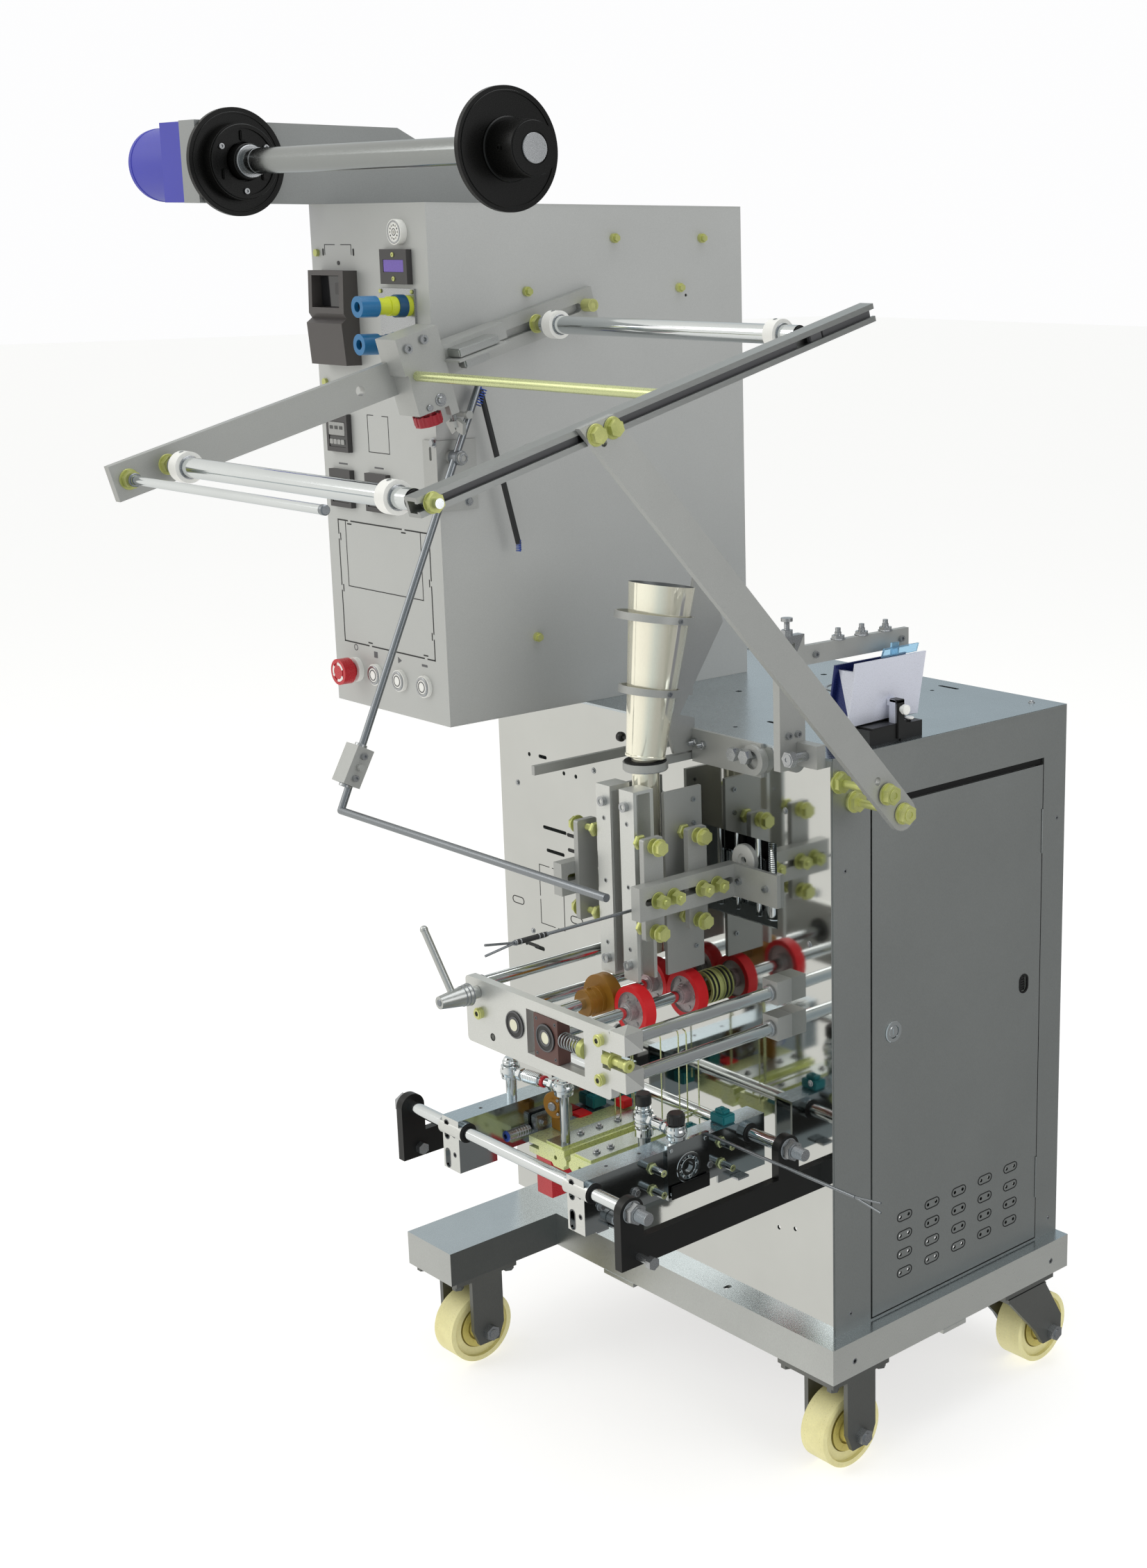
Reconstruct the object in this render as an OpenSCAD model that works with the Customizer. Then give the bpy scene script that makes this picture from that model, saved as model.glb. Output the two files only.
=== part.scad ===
// Vertical form fill sealer for small sachets: a wheeled stainless cabinet with the sealing
// mechanism on its front, a control box standing on its left side, a film roll holder on top
// and a tilted film guide frame. Millimetres, +Z up, front of the machine towards -Y.
// Inside the modules x = 0 is the right face of the base, y = 0 its front face and z = 0 the floor.

/* [Base and casters] */
// Width of the base frame, side to side
base_width = 663; // [640:1:690]
// Depth of the base frame, front to back
base_depth = 457; // [440:1:480]
// Height of the base channel
base_height = 48; // [40:1:60]
// Width of the outrigger beam at the left front
outrigger_width = 102; // [90:1:110]
// Reach of the outrigger in front of the base
outrigger_reach = 180; // [160:1:200]
// Radius of a caster wheel
wheel_radius = 50; // [45:1:54]
// Tread width of a caster wheel
wheel_width = 41; // [36:1:44]
// Height of the base top above the floor
base_top = 187; // [180:1:200]
// Distance between the outer faces of a fork
fork_width = 79; // [74:1:86]

/* [Cabinet] */
// Height of the cabinet above the base
cabinet_height = 750; // [700:1:800]
// Set-back of the cabinet from the base at the front and the right
cabinet_inset = 22; // [15:1:30]
// Sheet thickness of the cabinet
sheet = 3; // [2:0.5:4]
// Front edge of the side door
door_front = 92; // [85:1:100]
// Rear edge of the side door
door_rear = 411; // [400:1:420]
// Thickness of the side door
door_thickness = 2.5; // [2:0.5:4]

/* [Control box] */
// Width of the control box
box_width = 255; // [240:1:270]
// Depth of the control box
box_depth = 500; // [480:1:520]
// Height of the control box
box_height = 634; // [600:1:660]
// Left overhang of the control box past the base
box_overhang = 74; // [60:1:80]
// Front overhang of the control box past the base
box_front = 191; // [180:1:200]

/* [Film roll holder] */
// Height of the roll arm
arm_height = 95; // [85:1:105]
// Thickness of the roll arm
arm_thickness = 37; // [30:1:45]
// Radius of the roll shaft
roll_shaft_radius = 15; // [12:0.5:18]
// Radius of the roll flanges
flange_radius = 63; // [55:1:75]
// Free length for the film roll between the flanges
roll_gap = 500; // [450:1:510]

/* [Film guide frame] */
// Tilt of the film guide frame
film_tilt = 15.2; // [12:0.1:18]
// Width of the flat side bar
film_bar_width = 40; // [35:1:45]
// Length of the flat side bar
film_bar_length = 683; // [650:1:710]
// Side of the square T-slot rail
rail_side = 20; // [18:1:25]
// Radius of a guide roller tube
roller_radius = 11; // [9:0.5:13]
// Radius of the collars on the guide rollers
collar_radius = 17; // [15:0.5:20]

/* [Film drive] */
// Distance between the two film drive shafts
drive_spacing = 62.6; // [60:0.1:70]
// Radius of the film drive wheels
drive_wheel_radius = 31; // [28:0.5:32]
// Radius of the film drive shafts
drive_shaft_radius = 7.5; // [6:0.5:9]
// Distance of the drive front plate from the base front
drive_reach = 241; // [230:1:250]

/* [Sealing jaws] */
// Radius of the jaw cross shafts
cross_shaft_radius = 8; // [7:0.5:10]
// Gap between the closed jaws
jaw_gap = 5; // [4:0.5:8]
// Width of a jaw block
jaw_width = 76; // [65:1:80]
// Length of a jaw block
jaw_length = 150; // [130:1:160]

/* [Hidden] */
$fn = 48;
eps = 0.02;
// Running clearance of the machine's own sliding and turning fits
fit = 0.05;
box_top = base_top + cabinet_height + box_height;
box_bottom = base_top + cabinet_height;
box_left = -base_width - box_overhang;
box_right = box_left + box_width;
box_rear = -box_front + box_depth;
panel_y = cabinet_inset;
cab_left = -base_width - 16;
cab_right = -cabinet_inset;
side_x = -cabinet_inset;
// Centre of the film path
film_x = -270.7;
axle_z = wheel_radius;
// Middle of a fork, seen from the side of the base
fork_mid = fork_width / 2;
arm_left = box_left;
arm_right = arm_left + arm_thickness;
roll_y = -313;
roll_z = box_top + arm_height / 2;
// Front end of the film frame's centre line
frame_y = -610;
frame_z = 1273;
bar_x = box_right;
bar_thick = 10;
rail_x = 10;
strut_x = rail_x + rail_side + 0.8;
// Strut: top point on the rail, bottom point on the cabinet side, seen from the side
strut_top = [-347.5, 1344.3];
strut_bottom = [63, 877];
strut_foot_x = 50;
drive_z = 604;
drive_x1 = film_x - drive_spacing / 2;
drive_x2 = film_x + drive_spacing / 2;
shaft_z = 455;
shaft_front = -276;
shaft_rear = -31;
jaw_front = -194;
left_carriage_x = -402;
right_carriage_x = -151;
right_jaw_width = jaw_width - 26;
// Distances from the base corner to the outermost points, used to centre the origin
reach_left = 884;
reach_right = 168;
reach_front = 615.24;
reach_rear = 477;
shift_x = (reach_left - reach_right) / 2;
shift_y = (reach_front - reach_rear) / 2;

// Sub-part to draw, or all

// ---- helpers -------------------------------------------------------------------------------
module place() {
  translate([shift_x, shift_y, 0]) children();
}

module block(x0, x1, y0, y1, z0, z1) {
  translate([x0, y0, z0]) cube([x1 - x0, y1 - y0, z1 - z0]);
}

module rod_x(y, z, x0, x1, r) {
  translate([x0, y, z]) rotate([0, 90, 0]) cylinder(h = x1 - x0, r = r);
}

module rod_y(x, z, y0, y1, r) {
  translate([x, y0, z]) rotate([-90, 0, 0]) cylinder(h = y1 - y0, r = r);
}

module rod_z(x, y, z0, z1, r) {
  translate([x, y, z0]) cylinder(h = z1 - z0, r = r);
}

// A straight round rod between two points
module rod_between(a, b, r) {
  d = b - a;
  length = norm(d);
  azimuth = atan2(d[1], d[0]);
  polar = acos(d[2] / length);
  translate(a) rotate([0, polar, azimuth]) cylinder(h = length, r = r);
}

// Profile in Y and Z, extruded along X
module plate_x(x0, x1) {
  translate([x0, 0, 0]) rotate([90, 0, 90]) linear_extrude(x1 - x0) children();
}

// Profile in X and Z, extruded along Y
module plate_y(y0, y1) {
  translate([0, y1, 0]) rotate([90, 0, 0]) linear_extrude(y1 - y0) children();
}

// Flat slot profile with round ends, along its first axis
module slot2d(length, width) {
  square([length - width, width], center = true);
  for (s = [-1, 1]) translate([s * (length - width) / 2, 0]) circle(r = width / 2);
}

module rounded2d(a, b, r) {
  square([a - 2 * r, b], center = true);
  square([a, b - 2 * r], center = true);
  for (sx = [-1, 1], sy = [-1, 1]) translate([sx * (a / 2 - r), sy * (b / 2 - r)]) circle(r = r);
}

module hex_x(y, z, x0, x1, r) {
  translate([x0, y, z]) rotate([0, 90, 0]) cylinder(h = x1 - x0, r = r, $fn = 6);
}

module hex_y(x, z, y0, y1, r) {
  translate([x, y0, z]) rotate([-90, 0, 0]) cylinder(h = y1 - y0, r = r, $fn = 6);
}

// Frame of the tilted film guide: local Y runs up along the bars from their front end
module film_frame() {
  translate([0, frame_y, frame_z]) rotate([film_tilt, 0, 0]) children();
}

// ---- base and casters ----------------------------------------------------------------------
module base_frame() {
  lip = 45;
  z0 = base_top - base_height;
  color([0.62, 0.63, 0.63]) difference() {
    union() {
      block(-base_width, 0, 0, base_depth, z0, base_top);
      block(-base_width, -base_width + outrigger_width, -outrigger_reach, 1, z0, base_top);
    }
    // open middle of the ring
    block(-base_width + lip, -lip, lip, base_depth - lip, z0 - 1, base_top + 1);
    // channels behind the outer walls
    block(-base_width + sheet, -sheet, sheet, base_depth - sheet, z0 + sheet, base_top - sheet);
    // hollow of the outrigger, open below
    block(-base_width + sheet, -base_width + outrigger_width - sheet,
          -outrigger_reach + sheet, -sheet, z0 - 1, base_top - sheet);
    for (y = [38, base_depth - 36]) rod_x(y, base_top - 28, -8, 1, 4);
    rod_z(-base_width / 2 - 70, 20, base_top - 5, base_top + 1, 4);
    rod_z(-base_width / 2 + 110, 20, base_top - 5, base_top + 1, 4);
  }
  color([0.62, 0.63, 0.63]) {
    block(-455, -391, -0.5, 60, z0 - 6, z0);
    block(-60, 0.5, 202, 246, z0 - 6, z0);
  }
}

// Side plate of a fixed fork, profile about the axle line
module fixed_fork_profile(top) {
  polygon([[-25, top], [25, top], [25, axle_z + 7], [16, 34], [-16, 34], [-25, axle_z + 7]]);
}

// One fixed fork whose right outer face is at x = xr, axle at y
module fixed_fork(xr, y) {
  top = base_top - base_height - 6;
  difference() {
    union() {
      plate_x(xr - 7, xr) translate([y, 0]) fixed_fork_profile(top);
      plate_x(xr - fork_width, xr - fork_width + 7) translate([y, 0]) fixed_fork_profile(top);
      block(xr - outrigger_width, xr, y - 50, y + 50, top, top + 6);
    }
  }
  axle(xr, y);
  for (sx = [9, outrigger_width - 9], sy = [-42, 42]) {
    translate([xr - sx, y + sy, top - 6]) cylinder(h = 6, r = 8, $fn = 6);
  }
}

// Axle bolt with its nut and head, right outer face of the fork at xr
module axle(xr, y) {
  rod_x(y, axle_z, xr - fork_width - 4, xr + 11, 6);
  hex_x(y, axle_z, xr, xr + 9.5, 11);
  hex_x(y, axle_z, xr - fork_width - 7, xr - fork_width, 11);
}

module caster_forks() {
  z0 = base_top - base_height - 6;
  color([0.36, 0.36, 0.35]) {
    fixed_fork(0, 50);
    fixed_fork(-base_width + outrigger_width, -122);
    // fixed plates of the two swivel casters at the rear
    difference() {
      block(-outrigger_width, 0, 327, 427, z0, z0 + 6);
      rod_z(-fork_mid, 373, z0 - 1, z0 + 7, 8 + fit);
    }
    difference() {
      block(-base_width, -base_width + outrigger_width, 327, 427, z0, z0 + 6);
      rod_z(-base_width + fork_mid, 373, z0 - 1, z0 + 7, 8 + fit);
    }
  }
}

// Swivel fork: king pin, crown, two slanted plates and the axle bolt; xr is its right face
module swivel_fork(xr) {
  top = base_top - base_height - 8;
  mid = xr - fork_mid;
  rod_z(mid, 373, top - 1, top + 7.4, 8);
  block(xr - fork_width, xr, 334, 412, top - 6, top);
  for (x = [xr - 7, xr - fork_width]) {
    plate_x(x, x + 7)
      polygon([[334, top - 3], [412, top - 3], [446, 70], [446, 38], [408, 38], [391, 64]]);
  }
  axle(xr, 427);
}

module swivel_right() {
  color([0.36, 0.36, 0.35]) swivel_fork(0);
}

module swivel_left() {
  color([0.36, 0.36, 0.35]) swivel_fork(-base_width + fork_width);
}

// Wheel with stepped sides and a bored hub; xm is the middle of its tread
module wheel(xm, y) {
  color([0.87, 0.84, 0.6]) difference() {
    union() {
      rod_x(y, axle_z, xm - wheel_width / 2, xm + wheel_width / 2, wheel_radius);
      rod_x(y, axle_z, xm - fork_width / 2 + 8, xm + fork_width / 2 - 8, 17);
    }
    for (s = [-1, 1]) {
      x = xm + s * wheel_width / 2;
      difference() {
        rod_x(y, axle_z, x - 5, x + 5, wheel_radius - 7);
        rod_x(y, axle_z, x - 6, x + 6, 31);
      }
      difference() {
        rod_x(y, axle_z, x - 9, x + 9, 31.01);
        rod_x(y, axle_z, x - 10, x + 10, 17);
      }
    }
    rod_x(y, axle_z, xm - 60, xm + 60, 6 + fit);
  }
}

module wheel_outrigger() {
  wheel(-base_width + outrigger_width - fork_mid, -122);
}

module wheel_front() {
  wheel(-fork_mid, 50);
}

module wheel_rear_right() {
  wheel(-fork_mid, 427);
}

module wheel_rear_left() {
  wheel(-base_width + fork_mid, 427);
}

// ---- cabinet -------------------------------------------------------------------------------
module cabinet() {
  z0 = base_top;
  z1 = base_top + cabinet_height - sheet;
  door_top = base_top + 676;
  color([0.55, 0.56, 0.55]) difference() {
    block(cab_left, cab_right, panel_y, base_depth, z0, z1);
    block(cab_left + sheet, cab_right - sheet, panel_y + sheet, base_depth - sheet, z0 - 1, z1 + 1);
    // door opening with its front gap
    block(cab_right - 10, cab_right + 1, door_front - 3, door_rear + 1.5, z0 + 2, door_top + 9);
    // opening in the front panel behind the right sealing bar
    block(-262, -116, panel_y - 1, panel_y + 10, z0 + 519, z0 + 628);
    // holes in the columns
    for (p = [[46, 608], [53, 24], [441, 598], [440, 23]])
      rod_x(p[0], z0 + p[1], cab_right - 10, cab_right + 1, 3);
    // holes and slots in the front panel
    for (p = [[-611, 658], [-535, 644], [-509, 644], [-635, 381], [-120, 120], [-90, 128], [-60, 210]])
      rod_y(p[0], z0 + p[1], panel_y - 1, panel_y + 10, 3);
    for (p = [[-581, 659, 9, 5], [-605, 381, 12, 6], [-560, 560, 26, 5], [-560, 528, 20, 5]])
      plate_y(panel_y - 1, panel_y + 10) translate([p[0], z0 + p[1]]) slot2d(p[2] * 2, p[3]);
    // wide slots for the drive shafts of the jaws and the film rolls
    for (x = [drive_x1, drive_x2])
      rod_y(x, drive_z, panel_y - 1, panel_y + 10, drive_shaft_radius + 1.5);
    plate_y(panel_y - 1, panel_y + 10) translate([drive_x2 + 2, drive_z]) slot2d(34, 2 * drive_shaft_radius + 3);
  }
}

module top_plate() {
  z0 = base_top + cabinet_height - sheet;
  color([0.6, 0.62, 0.63]) difference() {
    block(cab_left, cab_right, panel_y, base_depth, z0, z0 + sheet);
    // four holes for the dosing unit
    for (sx = [-1, 1], sy = [-1, 1])
      rod_z(-330 + sx * 60, 290 + sy * 80, z0 - 1, z0 + sheet + 1, 4.5);
    for (p = [[-205, 427], [-207, 110], [-150, 80], [-420, 110]])
      translate([p[0], p[1], z0 - 1]) linear_extrude(sheet + 2) slot2d(36, 7);
    for (p = [[-207, 396], [-230, 60], [-120, 60]]) rod_z(p[0], p[1], z0 - 1, z0 + sheet + 1, 3);
  }
}

module door() {
  z0 = base_top + 4;
  z1 = base_top + 676;
  color([0.5, 0.51, 0.5]) difference() {
    union() {
      block(side_x - door_thickness, side_x, door_front, door_rear, z0, z1);
      // folded stiffening edges
      block(side_x - 18, side_x, door_front, door_front + 2, z0, z1);
      block(side_x - 10, side_x, door_front, door_rear - 12, z1 - 2, z1);
      block(side_x - 10, side_x, door_front, door_rear - 12, z0, z0 + 2);
      // hinge barrels on the rear edge
      for (z = [z0 + 60, z1 - 120]) rod_z(side_x, door_rear, z, z + 60, 1.4);
    }
    rod_x(129, base_top + 382, side_x - 30, side_x + 1, 11);
    plate_x(side_x - 30, side_x + 1) translate([379, base_top + 382]) rotate(90) slot2d(24, 15);
    for (c = [0:4], r = [0:3], s = [-1, 1])
      rod_x(151 + c * 51.7 + s * 7.5, base_top + 125 - r * 26, side_x - 30, side_x + 1, 2.4);
  }
}

// ---- control box ---------------------------------------------------------------------------
module control_box() {
  t = 2;
  color([0.8, 0.79, 0.77]) difference() {
    block(box_left, box_right, -box_front, box_rear, box_bottom, box_top);
    block(box_left + t, box_right - t, -box_front + t, box_rear - t, box_bottom + t, box_top - t);
    // vertical adjusting slot for the dancer bracket and loose holes in the side
    for (p = [[-60, 340], [-20, 330], [210, 520], [120, 250]])
      rod_x(p[0], box_bottom + p[1], box_right - 5, box_right + 1, 2);
    // breaker window, behind the cover
    block(-700, -648, -box_front - 1, -box_front + 5, box_bottom + 460, box_bottom + 540);
    for (x = [-710, -641]) plate_y(-box_front - 1, -box_front + 5)
      translate([x, box_bottom + 576]) rotate(90) slot2d(9, 3.4);
    // holes of the buttons
    for (x = [-642, -587, -532]) rod_y(x, base_top + 795, -box_front - 1, -box_front + 4, 9.3);
    rod_y(-688, base_top + 796, -box_front - 1, -box_front + 4, 10.3);
    // cable passage into the cabinet
    rod_z(-600, 150, box_bottom - 1, box_bottom + 5, 40);
  }
}

// White plastic pieces on the box front: buzzer, button collars and the emergency stop collar
module panel_fittings() {
  y = -box_front;
  z = base_top;
  color([0.88, 0.87, 0.84]) {
    difference() {
      rod_y(-537, z + 1350, y - 9, y, 15);
      for (a = [0:60:300])
        rod_y(-537 + 8 * cos(a), z + 1350 + 8 * sin(a), y - 10, y - 6, 1.6);
      rod_y(-537, z + 1350, y - 10, y - 6, 2.2);
    }
    for (x = [-642, -587, -532]) difference() {
      rod_y(x, z + 795, y - 5, y, 14);
      rod_y(x, z + 795, y - 6, y + 1, 9.3);
    }
    difference() {
      rod_y(-688, z + 796, y - 7, y, 16);
      rod_y(-688, z + 796, y - 8, y + 1, 10.3);
    }
  }
}

module push_button(x) {
  y = -box_front;
  color([0.93, 0.93, 0.9]) rod_y(x, base_top + 795, y - 6.5, y + 3, 9);
}

module button_stop() {
  push_button(-642);
}

module button_start() {
  push_button(-587);
}

module button_jog() {
  push_button(-532);
}

module estop_button() {
  y = -box_front;
  z = base_top + 796;
  color([0.72, 0.08, 0.1]) {
    rod_y(-688, z, y - 16, y + 3, 10);
    difference() {
      rod_y(-688, z, y - 29, y - 13, 17);
      difference() {
        rod_y(-688, z, y - 30, y - 28, 12);
        rod_y(-688, z, y - 31, y - 27, 10);
      }
    }
  }
}

// Dark cover with a sunk window over a swelling lower half
module breaker_cover() {
  y = -box_front;
  z = base_top;
  color([0.22, 0.21, 0.2]) difference() {
    plate_x(-716, -636) polygon([[y, z + 1189], [y - 22, z + 1189], [y - 26, z + 1240],
      [y - 18, z + 1246], [y - 22, z + 1252], [y - 20, z + 1304], [y, z + 1304]]);
    block(-708, -646, y - 30, y - 6, z + 1259, z + 1298);
  }
}

// Square instruments: one counter and three temperature controllers
module controllers() {
  y = -box_front;
  z = base_top;
  color([0.2, 0.2, 0.2]) {
    for (p = [[-692.5, 1102.5], [-692.5, 1032], [-610.5, 1032]]) difference() {
      block(p[0] - 24, p[0] + 24, y - 7, y, z + p[1] - 24, z + p[1] + 24);
      block(p[0] - 19, p[0] + 19, y - 8, y - 5.5, z + p[1] - 18, z + p[1] + 14);
    }
    difference() {
      block(-572, -515, y - 8, y, z + 1289, z + 1330);
      block(-565, -522, y - 9, y - 6, z + 1303, z + 1318);
    }
  }
}

// Connector plate with two glands
module sensor_plugs() {
  y = -box_front;
  z = base_top;
  color([0.1, 0.35, 0.5]) {
    block(-584, -510, y - 3, y, z + 1200, z + 1284);
    for (p = [[-523, 1264, 74], [-528, 1220, 71]]) {
      rod_y(p[0], z + p[1], y - 10, y - 3, 12.5);
      rod_y(p[0], z + p[1], y - 22, y - 10, 13.5);
      rod_y(p[0], z + p[1], y - 32, y - 22, 11.5);
      rod_y(p[0], z + p[1], y - p[2] + 25, y - 32, 10);
      difference() {
        rod_y(p[0], z + p[1], y - p[2], y - p[2] + 25, 12.5);
        rod_y(p[0], z + p[1], y - p[2] - 1, y - p[2] + 20, 6);
      }
    }
  }
}

// ---- film roll holder ----------------------------------------------------------------------
module roll_arm() {
  half = arm_height / 2;
  color([0.5, 0.51, 0.5]) difference() {
    plate_x(arm_left, arm_right)
      polygon([[roll_y - half, box_top], [115, box_top], [-79, box_top + arm_height],
               [roll_y - half, box_top + arm_height]]);
    rod_x(roll_y, roll_z, arm_left - 1, arm_right + 1, roll_shaft_radius + fit);
  }
}

module roll_motor() {
  half = arm_height / 2 - 1;
  color([0.25, 0.25, 0.72]) difference() {
    union() {
      block(arm_left - 49, arm_left, roll_y - half, roll_y + half, roll_z - half, roll_z + half);
      rod_x(roll_y, roll_z, -reach_left + 8, arm_left - 48, 44);
      translate([-reach_left, roll_y, roll_z]) rotate([0, 90, 0]) cylinder(h = 8.1, r1 = 37, r2 = 44);
    }
    rod_x(roll_y, roll_z, arm_left - 12, arm_left + 1, roll_shaft_radius + 1);
    block(arm_left - 63, arm_left - 49, roll_y - 50, roll_y - 20, roll_z - 46, roll_z - 34);
  }
}

module roll_shaft() {
  color([0.75, 0.74, 0.72])
    rod_x(roll_y, roll_z, arm_left - 10, arm_right + 10 + roll_gap + 88, roll_shaft_radius);
}

module roll_flange_left() {
  x = arm_right + 4;
  color([0.1, 0.1, 0.1]) difference() {
    union() {
      rod_x(roll_y, roll_z, x, x + 6, flange_radius);
      rod_x(roll_y, roll_z, x + 5, x + 22, 45);
    }
    rod_x(roll_y, roll_z, x + 12, x + 30, 23);
    rod_x(roll_y, roll_z, x - 1, x + 30, roll_shaft_radius - 0.01);
  }
}

module roll_flange_right() {
  x = arm_right + 10 + roll_gap + 37;
  color([0.1, 0.1, 0.1]) difference() {
    union() {
      rod_x(roll_y, roll_z, x, x + 6, flange_radius);
      rod_x(roll_y, roll_z, x - 17, x + 1, 45);
      rod_x(roll_y, roll_z, x + 5, x + 49, 29);
    }
    rod_x(roll_y, roll_z, x - 18, x - 12, 23);
    rod_x(roll_y, roll_z, x - 30, x + 60, roll_shaft_radius + fit);
  }
}

// ---- film guide frame ----------------------------------------------------------------------
module film_bar() {
  w = film_bar_width / 2;
  color([0.66, 0.66, 0.65]) film_frame() difference() {
    block(bar_x, bar_x + bar_thick, 0, film_bar_length, -w, w);
    for (t = [18, 66, 668]) rod_x(t, 0, bar_x - 1, bar_x + 20, 5.2);
    rod_x(322, 0, bar_x - 1, bar_x + 20, 6);
    plate_x(bar_x - 1, bar_x + 20) translate([588, 0]) slot2d(146, 11);
  }
}

module film_rail() {
  h = rail_side / 2;
  color([0.6, 0.61, 0.61]) film_frame() difference() {
    block(rail_x, rail_x + rail_side, 50, film_bar_length - 6, -h, h);
    block(rail_x + 4, rail_x + rail_side - 4, 49, film_bar_length, -6, 6);
    block(rail_x + 10, rail_x + rail_side + 1, 49, film_bar_length, -4, 4);
    rod_x(66, 0, rail_x - 1, rail_x + rail_side + 1, 5.2);
    rod_x(588, 0, rail_x - 1, rail_x + 12, 5.2);
    rod_x(382, 0, rail_x - 1, rail_x + 12, 6.2);
  }
}

// Fixed axles of the two guide rollers, the tie rod and the thin free-ended film rod
module roller_axles() {
  color([0.7, 0.7, 0.7]) film_frame() {
    rod_x(66, 0, bar_x - 3, rail_x + rail_side + 12, 5);
    rod_x(588, 0, bar_x, rail_x + 9, 5);
    rod_x(382, 0, bar_x + bar_thick, rail_x + 6, 6);
    rod_x(18, 0, bar_x - 6, bar_x + 400, 5);
    for (t = [66, 588]) rod_x(t, 0, rail_x - 9, rail_x, 7);
  }
}

// Tube with two collars on a fixed axle
module guide_roller(t) {
  film_frame() difference() {
    union() {
      rod_x(t, 0, bar_x + 28, rail_x - 10, roller_radius);
      for (x = [bar_x + 42, rail_x - 52]) rod_x(t, 0, x, x + 16, collar_radius);
    }
    rod_x(t, 0, bar_x, rail_x + 5, 5 + fit);
  }
}

module roller_front() {
  color([0.72, 0.74, 0.75]) guide_roller(66);
}

module roller_rear() {
  color([0.72, 0.74, 0.75]) guide_roller(588);
}

// Diagonal flat bar from the rail down to the right side of the cabinet, leaning outwards
module strut_frame() {
  d = strut_bottom - strut_top;
  lean = atan2(strut_foot_x - strut_x, norm(d));
  translate([strut_x, strut_top[0], strut_top[1]]) rotate([90, 0, 90])
    rotate(atan2(d[1], d[0])) rotate([0, -lean, 0]) children();
}

module strut() {
  length = norm(strut_bottom - strut_top);
  skew = 0.475 * 20;
  color([0.57, 0.57, 0.57]) strut_frame() linear_extrude(8) difference() {
    union() {
      polygon([[-13.3 - skew, -20], [-13.3 + skew, 20], [length, 20], [length, -20]]);
      translate([length - 0.5, 0]) circle(r = 20);
    }
    for (k = [3, 41, 62]) translate([length - k, 0]) circle(r = k == 62 ? 5 : 5.2);
    translate([8, -8]) circle(r = 4);
  }
}

// ---- small hardware ------------------------------------------------------------------------
module film_nut(t, x0, x1, r) {
  film_frame() difference() {
    hex_x(t, 0, x0, x1, r);
    rod_x(t, 0, x0 - 1, x1 + 1, 5.02);
  }
}

module box_screw_side(y, z) {
  rod_x(y, base_top + z, box_right, box_right + 5, 6);
  hex_x(y, base_top + z, box_right + 4, box_right + 9, 4.5);
}

module panel_screw(x, z) {
  rod_y(x, base_top + z, -box_front - 4, -box_front, 4.5);
}

// Bolt along X through a slotted bar of the vertical sealer, mirrored about the film centre
module vseal_bolt(y, z, x0, x1) {
  for (s = [-1, 1]) translate([film_x, 0, 0]) scale([s, 1, 1]) translate([-film_x, 0, 0]) {
    rod_x(y, z, x0, x1, 4);
    hex_x(y, z, x1, x1 + 8, 9);
  }
}

module yellow_bolts() {
  strut_points = [[35, 907], [61, 879]];
  z = base_top;
  color([0.72, 0.74, 0.25]) {
    // control box screws
    for (p = [[-49, 1279], [91, 1343], [238, 1343], [198, 1280], [-53, 847]]) box_screw_side(p[0], p[1]);
    for (p = [[-723, 1325], [-721, 1165]]) panel_screw(p[0], p[1]);
    // nuts of the film frame
    for (t = [18, 66]) film_nut(t, bar_x + bar_thick, bar_x + bar_thick + 9, 10);
    film_nut(588, bar_x + bar_thick, bar_x + bar_thick + 9, 10);
    film_nut(18, bar_x - 5, bar_x, 10);
    film_nut(66, rail_x + rail_side, rail_x + rail_side + 7, 10);
    film_frame() {
      rod_x(668, 0, bar_x, bar_x + 24, 5);
      rod_x(668, 0, bar_x + bar_thick, bar_x + 26, 8);
    }
    // bolts of the strut at the rail
    film_frame() for (t = [261, 283]) {
      rod_x(t, 0, strut_x + 8.8, strut_x + 10.5, 10.5);
      hex_x(t, 0, strut_x + 10, strut_x + 16.5, 9);
    }
    // spacer rods and bolts of the strut at the cabinet
    for (p = strut_points) {
      rod_x(p[0], p[1], side_x, strut_foot_x - 2.5, 5);
      rod_x(p[0], p[1], side_x, side_x + 3, 13);
      hex_x(p[0], p[1], side_x + 2, side_x + 11, 12);
      rod_x(p[0], p[1], strut_foot_x + 8.6, strut_foot_x + 11, 13);
      hex_x(p[0], p[1], strut_foot_x + 10, strut_foot_x + 20, 12);
    }
    // bolts of the vertical sealer
    for (y = [-100, -30], dz = [525, 633]) vseal_bolt(y, z + dz + 0, -230, -192);
    for (y = [-108, -84, -38, -14]) vseal_bolt(y, z + 570, -187, -180);
    // screws of the drive front plate and the jacking screw with its nut
    for (p = [[-373, 414], [-136, 442], [-136, 393]]) rod_y(p[0], z + p[1], -drive_reach - 4, -drive_reach, 7);
    rod_x(-drive_reach + 6, z + 419, -118, -96, 5.5);
    hex_x(-drive_reach + 6, z + 419, -134, -120, 9);
    rod_x(-drive_reach + 6, z + 419, -196, -133, 4);
    // bearing housing of the drive shafts on the panel
    difference() {
      rod_y(drive_x2, drive_z, 4, panel_y, 21);
      rod_y(drive_x2, drive_z, 3, panel_y + 1, 17.5);
    }
  }
}

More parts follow.
